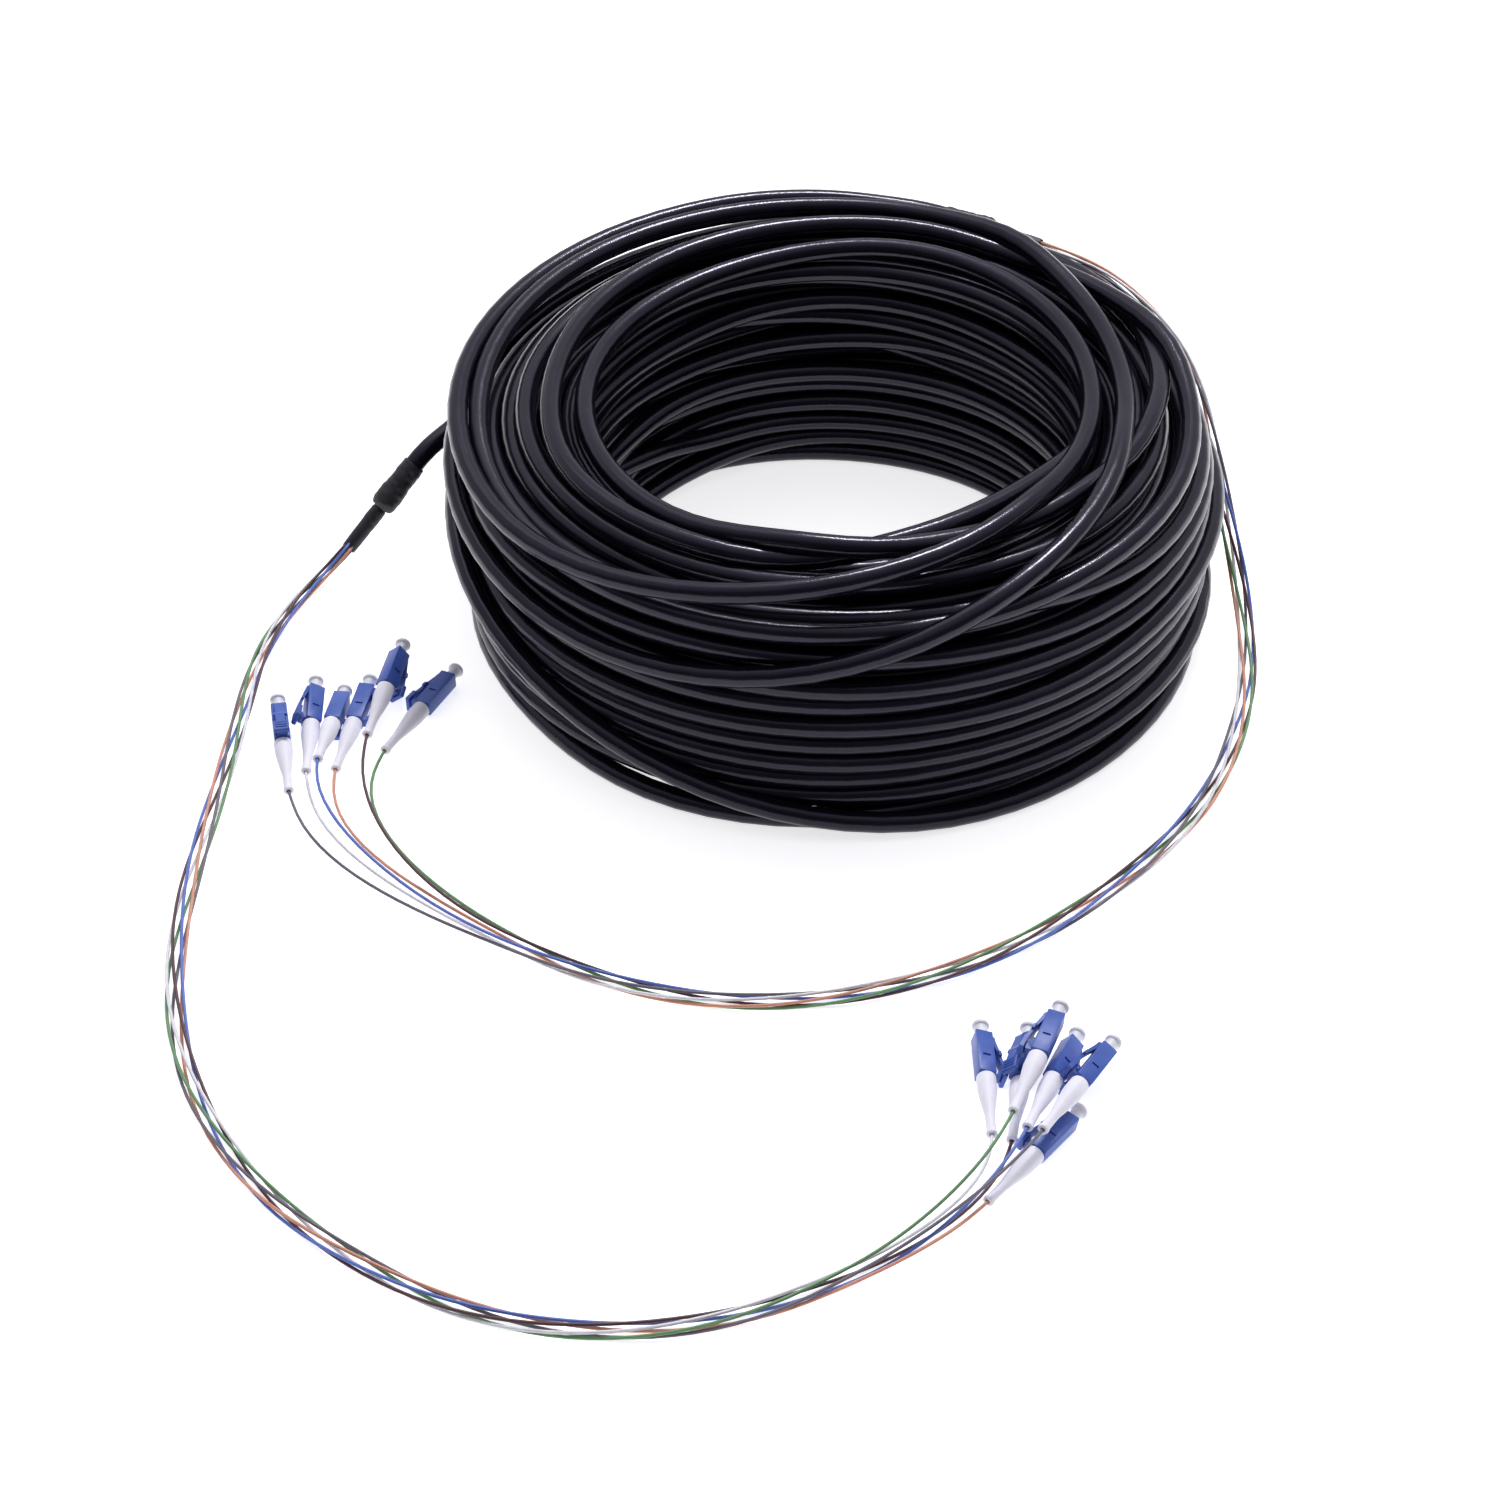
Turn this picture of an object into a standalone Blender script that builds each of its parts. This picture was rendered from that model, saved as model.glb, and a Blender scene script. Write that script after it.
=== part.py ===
"""Outdoor fibre patch cable: a coil of round black cable whose two ends break out into six fibres each.

The coil lies on the floor round the world's Z axis. Each cable end runs into a large and a small
heat-shrink sleeve, and six buffered fibres leave the small sleeve as a loose twisted bundle. Every fibre
ends in a simplex plug: a blue housing with its latch, a white boot and a white dust cap that pulls off
forwards. Metres, +Z up.
"""
import math

import bmesh
import bpy
from mathutils import Euler, Matrix, Vector

MM = 0.001

# General clearance between neighbouring solids
GAP = 0.0003

# Round cable and its coil
CABLE_D = 0.006
BORE_R = 0.072
TURN_PITCH = 0.006
# Layers that each column of turns lies below the top, from the bore outwards
COLUMN_DROPS = (0, 0, 0, 0, 1, 2)
LAYER_PITCH = 0.0062
LAYERS = 12
TURN_GROOVE = 0.0010
COIL_SEGMENTS = 40

# Heat-shrink sleeves of a breakout
LARGE_SLEEVE_D = 0.0080
LARGE_SLEEVE_L = 0.0165
SMALL_SLEEVE_D = 0.0048
SMALL_SLEEVE_L = 0.0155
SLEEVE_TAPER = 0.0016
SLEEVE_END_DROP = 0.0004
SLEEVE_SIDES = 14

# Buffered fibres and the loose twist of their bundle
FIBRE_D = 0.0009
FIBRE_SPACING = 0.00128
BUNDLE_SPREAD = 0.0024
TWIST_LENGTH = 0.170

# Plug housing and latch
HOUSING_W = 0.0046
HOUSING_L = 0.0154
HOUSING_CHAMFER = 0.0005
FERRULE_HOLE_D = 0.0037
FERRULE_HOLE_DEPTH = 0.0060
LATCH_W = 0.0026
LATCH_T = 0.0009
LATCH_ROOT = 0.0024
LATCH_RISE = 0.0024
LATCH_L = 0.0136
THUMB_W = 0.0044
THUMB_L = 0.0036
THUMB_T = 0.0013
THUMB_NOSE_ABOVE = 0.0004
THUMB_NOSE_BELOW = 0.0009

# Strain relief boot
BOOT_D = 0.0051
BOOT_L = 0.0213
BOOT_COLLAR_L = 0.0050
BOOT_NECK_D = 0.0026
BOOT_NECK_L = 0.0070
BOOT_LIP_D = 0.0031
BOOT_LIP_L = 0.0014

# Dust cap
CAP_STEM_D = 0.0031
CAP_INSERTION = 0.0052
CAP_STEM_OUT = 0.0034
CAP_FLANGE_D = 0.0045
CAP_FLANGE_T = 0.0010
CAP_DOME = 0.0006

ROUND_SIDES = 10

# Surface colours and roughness
JACKET_COLOUR = (0.012, 0.011, 0.016)
JACKET_ROUGHNESS = 0.28
SLEEVE_COLOUR = (0.018, 0.017, 0.021)
SLEEVE_ROUGHNESS = 0.55
HOUSING_COLOUR = (0.050, 0.115, 0.480)
HOUSING_ROUGHNESS = 0.42
BOOT_COLOUR = (0.80, 0.79, 0.86)
BOOT_ROUGHNESS = 0.55
CAP_COLOUR = (0.74, 0.74, 0.78)
CAP_ROUGHNESS = 0.45
BUFFER_ROUGHNESS = 0.45
BUFFER_COLOURS = {
    "blue": (0.10, 0.17, 0.55),
    "orange": (0.72, 0.30, 0.18),
    "green": (0.10, 0.26, 0.10),
    "brown": (0.10, 0.05, 0.05),
    "slate": (0.16, 0.16, 0.19),
    "white": (0.78, 0.77, 0.80),
}

# End A: the cable droops off the coil's left side. Route points in millimetres.
LEAD_A_MM = [(-79.4, 78.1, 44.0), (-98.0, 59.0, 39.5), (-112.0, 42.0, 33.8)]
BREAKOUT_A_MM = [(-125.2, 29.0, 27.3), (-145.0, 15.0, 6.8)]
BUNDLE_A_MM = [
    (-152.5, 5.0, 3.6), (-158.5, -4.0, 1.9), (-167.0, -29.0, 1.8), (-169.5, -58.0, 1.8), (-172.0, -92.0, 1.8),
    (-175.0, -124.0, 1.8), (-176.0, -155.0, 1.8), (-173.0, -184.0, 1.8), (-166.0, -209.0, 1.8),
    (-155.0, -231.0, 1.8), (-139.0, -252.0, 1.8), (-118.0, -270.0, 1.8), (-95.0, -284.0, 1.8),
    (-70.0, -291.0, 1.8), (-45.0, -291.0, 1.8), (-22.0, -285.0, 1.8), (-3.0, -275.0, 1.8),
]
# Place of each fibre round the bundle where the fan begins, in degrees
PHASES_A = {"white": 180, "green": 120, "brown": 240, "slate": 60, "blue": 300, "orange": 0}
# Colour: front face centre in millimetres, heading, nose-up pitch and latch roll in degrees
PLUGS_A = {
    "white": ((34.1, -193.0, 3.1), 91.0, -2.5, 106.0),
    "brown": ((45.6, -194.2, 3.35), 80.7, 0.0, -40.0),
    "green": ((52.7, -193.5, 10.4), 69.5, -1.0, -86.0),
    "blue": ((57.0, -196.6, 4.2), 68.0, -6.0, 132.0),
    "slate": ((65.2, -201.2, 6.1), 60.0, -5.5, -62.0),
    "orange": ((54.8, -222.5, 2.8), 53.0, -2.0, -80.0),
}

# End B: the cable runs round the coil's top rim, and its fibres drape down the right side
LEAD_B_MM = [
    (-36.0, 97.3, 75.6), (-20.0, 101.3, 75.4), (-2.0, 102.8, 74.9), (14.0, 101.4, 74.0),
]
BREAKOUT_B_MM = [(34.8, 95.5, 72.9), (66.8, 76.8, 72.5)]
BUNDLE_B_MM = [
    (76.0, 71.5, 71.9), (84.5, 63.0, 70.6), (92.8, 53.0, 67.4), (99.2, 47.0, 63.6), (104.0, 41.0, 57.0),
    (108.6, 30.0, 48.5), (112.0, 15.5, 36.0), (115.3, 4.5, 24.5), (118.6, -5.5, 12.5), (120.0, -17.5, 4.4),
    (119.5, -32.0, 1.9), (117.5, -48.0, 1.8), (111.0, -73.0, 1.8), (101.0, -97.0, 1.8), (86.0, -119.0, 1.8),
    (68.0, -138.0, 1.8), (48.0, -155.0, 1.8), (25.0, -168.0, 1.8), (-2.0, -177.0, 1.8), (-28.0, -179.0, 1.8),
    (-50.0, -175.0, 1.8), (-70.0, -167.0, 1.8), (-86.0, -157.0, 1.8),
]
PHASES_B = {"slate": 180, "blue": 120, "white": 240, "brown": 60, "orange": 300, "green": 0}
PLUGS_B = {
    "slate": ((-159.0, -57.7, 2.7), 100.0, 0.6, 0.0),
    "white": ((-149.4, -49.9, 3.3), 91.5, 0.0, -62.0),
    "blue": ((-141.4, -53.0, 3.0), 85.0, -10.5, 180.0),
    "orange": ((-134.6, -49.2, 3.2), 81.0, 0.0, 92.0),
    "brown": ((-125.8, -38.8, 8.1), 80.0, 1.5, 142.0),
    "green": ((-111.5, -43.4, 2.7), 64.4, 0.0, -92.0),
}

# Points along the cords, and the straight stretches at the sleeves
LEAD_POINT_SPACING = 0.009
FIBRE_POINT_COUNT = 34
FAN_STEPS = 6
CURVE_STEPS = 12
LEAD_STRAIGHT_L = LARGE_SLEEVE_L / 3
FIBRE_STRAIGHT_L = SMALL_SLEEVE_L / 4
CABLE_RESOLUTION = 3
FIBRE_RESOLUTION = 2

MERGE_DISTANCE = 1e-6
SHARP_ANGLE_DEG = 35


def clear_scene():
    """Removes every object, so that the scene holds the part alone."""
    for item in list(bpy.data.objects):
        bpy.data.objects.remove(item, do_unlink=True)


def make_material(name, colour, roughness):
    """Makes a Principled material of one colour."""
    material = bpy.data.materials.new(name)
    material.use_nodes = True
    shader = material.node_tree.nodes["Principled BSDF"]
    shader.inputs["Base Color"].default_value = (*colour, 1.0)
    shader.inputs["Roughness"].default_value = roughness
    return material


def place(name, data, material, parent=None, matrix=None):
    """Links an object with its material, at a pose in the world or under a parent."""
    item = bpy.data.objects.new(name, data)
    data.materials.clear()
    data.materials.append(material)
    bpy.context.scene.collection.objects.link(item)
    item.parent = parent
    if matrix is not None:
        item.matrix_local = matrix
    return item


def from_mm(points):
    """Turns route points in millimetres into vectors in metres."""
    return [Vector(point) * MM for point in points]


def turned_mesh(name, profile, segments, closed=False):
    """Spins a profile of (height, radius) pairs round the local X axis into one closed mesh."""
    mesh = bpy.data.meshes.new(name)
    shape = bmesh.new()
    verts = [shape.verts.new((height, radius, 0.0)) for height, radius in profile]
    edges = [shape.edges.new(pair) for pair in zip(verts, verts[1:])]
    if closed:
        edges.append(shape.edges.new((verts[-1], verts[0])))
    bmesh.ops.spin(
        shape,
        geom=verts + edges,
        cent=(0, 0, 0),
        axis=(1, 0, 0),
        angle=math.tau,
        steps=segments,
        use_duplicate=False,
    )
    bmesh.ops.remove_doubles(shape, verts=shape.verts, dist=MERGE_DISTANCE)
    bmesh.ops.dissolve_degenerate(shape, edges=shape.edges, dist=MERGE_DISTANCE)
    bmesh.ops.recalc_face_normals(shape, faces=shape.faces)
    shape.to_mesh(mesh)
    shape.free()
    mesh.shade_smooth()
    mesh.set_sharp_from_angle(angle=math.radians(SHARP_ANGLE_DEG))
    return mesh


def catmull_rom(points):
    """Reads many points from a smooth curve that passes through the given ones."""
    padded = [points[0] * 2 - points[1], *points, points[-1] * 2 - points[-2]]
    curve = []
    for index in range(1, len(padded) - 2):
        before, start, end, after = padded[index - 1 : index + 3]
        for step in range(CURVE_STEPS):
            t = step / CURVE_STEPS
            curve.append(
                0.5
                * (
                    2 * start
                    + (end - before) * t
                    + (2 * before - 5 * start + 4 * end - after) * t**2
                    + (3 * start - before - 3 * end + after) * t**3
                )
            )
    curve.append(points[-1].copy())
    return curve


def evenly_spaced(curve, count):
    """Picks count points at equal distances along a curve, its two ends among them."""
    travelled = [0.0]
    for start, end in zip(curve, curve[1:]):
        travelled.append(travelled[-1] + (end - start).length)
    picked = []
    index = 0
    for number in range(count):
        target = travelled[-1] * number / (count - 1)
        while index < len(curve) - 2 and travelled[index + 1] < target:
            index += 1
        span = travelled[index + 1] - travelled[index]
        picked.append(curve[index].lerp(curve[index + 1], (target - travelled[index]) / span))
    return picked


def curve_length(curve):
    """Adds up the distances between the points of a curve."""
    return sum((end - start).length for start, end in zip(curve, curve[1:]))


def tube(name, points, diameter, resolution, material):
    """Makes a cord as a bevelled poly curve with filled caps."""
    curve = bpy.data.curves.new(name, "CURVE")
    curve.dimensions = "3D"
    curve.bevel_depth = diameter / 2
    curve.bevel_resolution = resolution
    curve.use_fill_caps = True
    spline = curve.splines.new("POLY")
    spline.points.add(len(points) - 1)
    for target, point in zip(spline.points, points):
        target.co = (*point, 1.0)
    return place(name, curve, material)


def end_outline(tops):
    """Outlines one end of the coil from the bore to the outer wall, with a groove between its columns."""
    half = CABLE_D / 2
    flat = TURN_PITCH / 4
    outline = [(tops[0] - half, BORE_R)]
    for number, top in enumerate(tops):
        middle = BORE_R + (number + 0.5) * TURN_PITCH
        edge = middle + TURN_PITCH / 2
        outline += [(top, middle - flat), (top, middle + flat)]
        following = tops[number + 1] if number + 1 < len(tops) else None
        if following is None or following < top:
            outline.append((top - half, edge))
        if following is not None:
            outline.append((following - TURN_GROOVE, edge))
    return outline


def coil_profile():
    """Outlines the coil's section: the stepped top, the plain walls and the level bottom."""
    height = LAYERS * LAYER_PITCH
    top = end_outline([height - drop * LAYER_PITCH for drop in COLUMN_DROPS])
    level_end = end_outline([height] * len(COLUMN_DROPS))
    return top + [(height - level, radius) for level, radius in reversed(level_end)]


def build_coil(material):
    """Turns the coil round the world's Z axis."""
    mesh = turned_mesh("coil", coil_profile(), COIL_SEGMENTS, closed=True)
    upright = Matrix.Rotation(-math.pi / 2, 4, "Y")
    return place("coil", mesh, material, matrix=upright)


def sleeve_profile(diameter, length):
    """Outlines a shrunk sleeve with tapered ends, starting at its rear face."""
    end = diameter / 2 - SLEEVE_END_DROP
    full = diameter / 2
    return [
        (0.0, 0.0),
        (0.0, end),
        (SLEEVE_TAPER, full),
        (length - SLEEVE_TAPER, full),
        (length, end),
        (length, 0.0),
    ]


def heading_matrix(start, direction):
    """Gives the pose at start whose X axis follows direction."""
    return Matrix.Translation(start) @ direction.to_track_quat("X", "Z").to_matrix().to_4x4()


class Breakout:
    """The straight run of the two sleeves at one cable end."""

    def __init__(self, ends_mm):
        start, aim = from_mm(ends_mm)
        self.start = start
        self.direction = (aim - start).normalized()
        self.small_start = start + self.direction * (LARGE_SLEEVE_L + GAP)
        self.mouth = self.small_start + self.direction * SMALL_SLEEVE_L

    def build(self, prefix, material):
        """Makes the large and the small sleeve."""
        sleeves = (
            ("_large_sleeve", LARGE_SLEEVE_D, LARGE_SLEEVE_L, self.start),
            ("_small_sleeve", SMALL_SLEEVE_D, SMALL_SLEEVE_L, self.small_start),
        )
        for suffix, diameter, length, start in sleeves:
            mesh = turned_mesh(prefix + suffix, sleeve_profile(diameter, length), SLEEVE_SIDES)
            place(prefix + suffix, mesh, material, matrix=heading_matrix(start, self.direction))


def build_lead(name, route_mm, breakout, material):
    """Lays the free cable end from the coil to its large sleeve."""
    end = breakout.start - breakout.direction * GAP
    approach = end - breakout.direction * LEAD_STRAIGHT_L
    curve = catmull_rom([*from_mm(route_mm), approach])
    count = round(curve_length(curve) / LEAD_POINT_SPACING) + 1
    tube(name, [*evenly_spaced(curve, count), end], CABLE_D, CABLE_RESOLUTION, material)


def plug_matrix(front_mm, heading, pitch, roll):
    """Gives a plug's pose: its front face centre, X forwards and Z towards the latch."""
    turn = Euler((math.radians(roll), math.radians(-pitch), math.radians(heading)), "XYZ")
    return Matrix.Translation(Vector(front_mm) * MM) @ turn.to_matrix().to_4x4()


def side_profile_solid(name, outline, width):
    """Extrudes an outline of (x, z) pairs to both sides of the XZ plane."""
    mesh = bpy.data.meshes.new(name)
    shape = bmesh.new()
    verts = [shape.verts.new((x, -width / 2, z)) for x, z in outline]
    face = shape.faces.new(verts)
    grown = bmesh.ops.extrude_face_region(shape, geom=[face])
    moved = [item for item in grown["geom"] if isinstance(item, bmesh.types.BMVert)]
    bmesh.ops.translate(shape, vec=(0, width, 0), verts=moved)
    bmesh.ops.recalc_face_normals(shape, faces=shape.faces)
    shape.to_mesh(mesh)
    shape.free()
    item = bpy.data.objects.new(name, mesh)
    bpy.context.scene.collection.objects.link(item)
    return item


def latch_outline():
    """Outlines the latch arm from the side: rooted near the front, rising towards the boot."""
    top = HOUSING_W / 2
    root = top - LATCH_T
    tip = -LATCH_ROOT - LATCH_L + THUMB_L
    return [
        (-HOUSING_CHAMFER, root),
        (-HOUSING_CHAMFER, top + LATCH_T / 2),
        (-LATCH_ROOT, top + LATCH_T),
        (tip, top + LATCH_RISE + LATCH_T / 2),
        (tip, top + LATCH_RISE - LATCH_T / 2),
        (-LATCH_ROOT - LATCH_T, top),
        (-LATCH_ROOT - LATCH_T, root),
    ]


def thumb_outline():
    """Outlines the wider thumb pad at the latch arm's free end."""
    top = HOUSING_W / 2
    front = -LATCH_ROOT - LATCH_L + THUMB_L + LATCH_T
    back = -LATCH_ROOT - LATCH_L
    middle = top + LATCH_RISE
    return [
        (front, middle + THUMB_NOSE_ABOVE),
        (back, middle + THUMB_T / 2),
        (back, middle - THUMB_T / 2),
        (front, middle - THUMB_NOSE_BELOW),
    ]


def build_housing_mesh():
    """Joins body, latch and thumb pad, and bores the hole for the ferrule and the dust cap."""
    half = HOUSING_W / 2
    outline = [(0.0, half), (-HOUSING_L, half), (-HOUSING_L, -half), (0.0, -half)]
    body = side_profile_solid("housing_body", outline, HOUSING_W)
    bevel = body.modifiers.new("Edges", "BEVEL")
    bevel.width = HOUSING_CHAMFER
    bevel.segments = 1
    bevel.limit_method = "ANGLE"
    arm = side_profile_solid("housing_latch_arm", latch_outline(), LATCH_W)
    thumb = side_profile_solid("housing_latch_thumb", thumb_outline(), THUMB_W)
    hole_radius = FERRULE_HOLE_D / 2
    hole_profile = [
        (-FERRULE_HOLE_DEPTH, 0.0),
        (-FERRULE_HOLE_DEPTH, hole_radius),
        (HOUSING_CHAMFER, hole_radius),
        (HOUSING_CHAMFER, 0.0),
    ]
    hole = bpy.data.objects.new("housing_hole", turned_mesh("housing_hole", hole_profile, ROUND_SIDES))
    bpy.context.scene.collection.objects.link(hole)
    tools = [("UNION", arm), ("UNION", thumb), ("DIFFERENCE", hole)]
    for operation, tool in tools:
        cut = body.modifiers.new(tool.name, "BOOLEAN")
        cut.operation = operation
        cut.solver = "EXACT"
        cut.object = tool
    bpy.context.view_layer.update()
    finished = body.evaluated_get(bpy.context.evaluated_depsgraph_get())
    mesh = bpy.data.meshes.new_from_object(finished)
    mesh.name = "plug_housing"
    for item in [body, *(tool for _, tool in tools)]:
        bpy.data.objects.remove(item, do_unlink=True)
    mesh.shade_flat()
    return mesh


def boot_profile():
    """Outlines the boot from its face at the housing to its lip, along negative X."""
    start = -HOUSING_L - GAP
    end = start - BOOT_L
    return [
        (start, 0.0),
        (start, BOOT_D / 2),
        (start - BOOT_COLLAR_L, BOOT_D / 2),
        (end + BOOT_NECK_L, BOOT_NECK_D / 2),
        (end + BOOT_LIP_L, BOOT_NECK_D / 2),
        (end + BOOT_LIP_L, BOOT_LIP_D / 2),
        (end, BOOT_LIP_D / 2),
        (end, 0.0),
    ]


def cap_profile():
    """Outlines the dust cap: a stem in the housing's hole and a domed flange in front."""
    flange = CAP_STEM_OUT + CAP_FLANGE_T
    return [
        (-CAP_INSERTION, 0.0),
        (-CAP_INSERTION, CAP_STEM_D / 2),
        (CAP_STEM_OUT, CAP_STEM_D / 2),
        (CAP_STEM_OUT, CAP_FLANGE_D / 2),
        (flange, CAP_FLANGE_D / 2),
        (flange + CAP_DOME, CAP_FLANGE_D / 4),
        (flange + CAP_DOME, 0.0),
    ]


def build_plug(prefix, pose, meshes, materials):
    """Places a plug's three pieces under an empty on its axis and returns the boot's rear centre."""
    anchor = bpy.data.objects.new(prefix + "_plug_axis", None)
    bpy.context.scene.collection.objects.link(anchor)
    anchor.matrix_world = pose
    place(prefix + "_housing", meshes["housing"], materials["housing"], parent=anchor)
    place(prefix + "_boot", meshes["boot"], materials["boot"], parent=anchor)
    place(prefix + "_dust_cap", meshes["cap"], materials["cap"], parent=anchor)
    return pose @ Vector((-HOUSING_L - GAP - BOOT_L - GAP, 0, 0))


def bundle_frames(route, direction):
    """Gives point, left and up vectors along the bundle's middle line, which starts in a given direction."""
    frames = []
    for index, point in enumerate(route):
        ahead = route[min(index + 1, len(route) - 1)] - route[index - 1] if index else direction
        left = Vector((0, 0, 1)).cross(ahead).normalized()
        up = ahead.cross(left).normalized()
        frames.append((point, left, up))
    return frames


def fibre_route(middle, phase, breakout, plug_end, plug_back):
    """Lays one fibre: out of the sleeve, twisted along the bundle, then fanned out to its boot."""
    frames = bundle_frames(middle, breakout.direction)
    total = curve_length(middle)
    travelled = 0.0
    route = []
    for index, (point, left, up) in enumerate(frames):
        if index:
            travelled += (point - middle[index - 1]).length
        angle = math.radians(phase) + math.tau * (travelled - total) / TWIST_LENGTH
        opening = min(1.0, travelled / (TWIST_LENGTH / 2))
        wide = FIBRE_SPACING + (BUNDLE_SPREAD - FIBRE_SPACING) * opening
        route.append(point - left * math.cos(angle) * wide + up * math.sin(angle) * FIBRE_SPACING)
    route.insert(0, route[0] - breakout.direction * FIBRE_STRAIGHT_L)
    start = route[-1]
    leave = (route[-1] - route[-2]).normalized()
    reach = (plug_end - start).length
    for step in range(1, FAN_STEPS + 1):
        t = step / FAN_STEPS
        keep = 2 * t**3 - 3 * t**2 + 1
        gain = -2 * t**3 + 3 * t**2
        swing_out = leave * reach * (t**3 - 2 * t**2 + t)
        swing_in = plug_back * reach * (t**3 - t**2)
        route.append(start * keep + swing_out + plug_end * gain - swing_in)
    return route


def build_end(prefix, route_mm, phases, plugs, breakout, meshes, materials):
    """Makes the six fibres and plugs of one cable end."""
    mouth = breakout.mouth + breakout.direction * (GAP + FIBRE_STRAIGHT_L)
    middle = evenly_spaced(catmull_rom([mouth, *from_mm(route_mm)]), FIBRE_POINT_COUNT - FAN_STEPS - 1)
    for colour, (front, heading, pitch, roll) in plugs.items():
        pose = plug_matrix(front, heading, pitch, roll)
        boot_end = build_plug(f"{prefix}_{colour}", pose, meshes, materials)
        backwards = pose.to_3x3() @ Vector((-1, 0, 0))
        route = fibre_route(middle, phases[colour], breakout, boot_end, backwards)
        tube(f"{prefix}_{colour}_fibre", route, FIBRE_D, FIBRE_RESOLUTION, materials[colour])


def main():
    """Builds the whole cable."""
    clear_scene()
    materials = {
        "jacket": make_material("black_jacket", JACKET_COLOUR, JACKET_ROUGHNESS),
        "sleeve": make_material("black_heat_shrink", SLEEVE_COLOUR, SLEEVE_ROUGHNESS),
        "housing": make_material("blue_plastic", HOUSING_COLOUR, HOUSING_ROUGHNESS),
        "boot": make_material("white_boot", BOOT_COLOUR, BOOT_ROUGHNESS),
        "cap": make_material("white_cap", CAP_COLOUR, CAP_ROUGHNESS),
    }
    for colour, value in BUFFER_COLOURS.items():
        materials[colour] = make_material(colour + "_buffer", value, BUFFER_ROUGHNESS)
    meshes = {
        "housing": build_housing_mesh(),
        "boot": turned_mesh("boot", boot_profile(), ROUND_SIDES),
        "cap": turned_mesh("dust_cap", cap_profile(), ROUND_SIDES),
    }
    build_coil(materials["jacket"])
    ends = (
        ("a", LEAD_A_MM, BREAKOUT_A_MM, BUNDLE_A_MM, PHASES_A, PLUGS_A),
        ("b", LEAD_B_MM, BREAKOUT_B_MM, BUNDLE_B_MM, PHASES_B, PLUGS_B),
    )
    for prefix, lead, sleeves, bundle, phases, plugs in ends:
        breakout = Breakout(sleeves)
        breakout.build(prefix, materials["sleeve"])
        build_lead(prefix + "_cable_end", lead, breakout, materials["jacket"])
        build_end(prefix, bundle, phases, plugs, breakout, meshes, materials)


main()
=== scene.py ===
"""Dresses the outdoor fibre patch cable: a wound cable, two breakouts, twelve fibres and their plugs."""
import logging
import math
from dataclasses import dataclass
from enum import Enum

import bpy
import numpy as np
from mathutils import Euler, Matrix, Vector


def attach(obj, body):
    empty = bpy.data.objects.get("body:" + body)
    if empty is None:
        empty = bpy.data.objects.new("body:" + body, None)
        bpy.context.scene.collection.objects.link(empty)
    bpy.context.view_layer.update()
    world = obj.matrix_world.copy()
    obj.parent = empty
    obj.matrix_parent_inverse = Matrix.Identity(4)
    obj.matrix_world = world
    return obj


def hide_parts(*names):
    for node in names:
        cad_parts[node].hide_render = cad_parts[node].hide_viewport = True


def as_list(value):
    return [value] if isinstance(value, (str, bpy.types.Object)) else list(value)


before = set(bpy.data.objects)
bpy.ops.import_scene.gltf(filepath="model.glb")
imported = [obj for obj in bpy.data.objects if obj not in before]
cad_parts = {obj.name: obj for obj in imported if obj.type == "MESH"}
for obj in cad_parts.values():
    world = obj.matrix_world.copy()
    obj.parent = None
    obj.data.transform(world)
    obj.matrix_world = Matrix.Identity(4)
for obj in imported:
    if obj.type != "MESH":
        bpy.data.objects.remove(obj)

MM = 0.001
LOG = logging.getLogger("fibre_patch_cable")
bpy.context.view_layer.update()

Point = tuple[float, float, float]
Pair = tuple[float, float]
Piece, Material, Socket = bpy.types.Object, bpy.types.Material, bpy.types.NodeSocket

# Metres: the clearance between pieces, and the lengths that several pieces share.
GAP = 0.0003
LARGE_SLEEVE_L = 0.0165
SMALL_SLEEVE_L = 0.0155
HOUSING_L = 0.0154
BOOT_L = 0.0213


class CableEnd(Enum):
    """The two ends of the cable."""

    A = "a"
    B = "b"


class Buffer(Enum):
    """The six fibre colours of a breakout."""

    BLUE = "blue"
    ORANGE = "orange"
    GREEN = "green"
    BROWN = "brown"
    SLATE = "slate"
    WHITE = "white"


# Metres, for each end: the cable from the coil, the axis of the sleeves, and the middle of the fibre bundle.
LEAD_A = [(-0.0794, 0.0781, 0.044), (-0.098, 0.059, 0.0395), (-0.112, 0.042, 0.0338)]
BREAKOUT_A = [(-0.1252, 0.029, 0.0273), (-0.145, 0.015, 0.0068)]
BUNDLE_A = [
    (-0.1525, 0.005, 0.0036), (-0.1585, -0.004, 0.0019), (-0.167, -0.029, 0.0018),
    (-0.1695, -0.058, 0.0018), (-0.172, -0.092, 0.0018), (-0.175, -0.124, 0.0018), (-0.176, -0.155, 0.0018),
    (-0.173, -0.184, 0.0018), (-0.166, -0.209, 0.0018), (-0.155, -0.231, 0.0018), (-0.139, -0.252, 0.0018),
    (-0.118, -0.270, 0.0018), (-0.095, -0.284, 0.0018), (-0.070, -0.291, 0.0018), (-0.045, -0.291, 0.0018),
    (-0.022, -0.285, 0.0018), (-0.003, -0.275, 0.0018),
]
LEAD_B = [
    (-0.036, 0.0973, 0.0756), (-0.020, 0.1013, 0.0754), (-0.002, 0.1028, 0.0749), (0.014, 0.1014, 0.074),
]
BREAKOUT_B = [(0.0348, 0.0955, 0.0729), (0.0668, 0.0768, 0.0725)]
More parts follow.
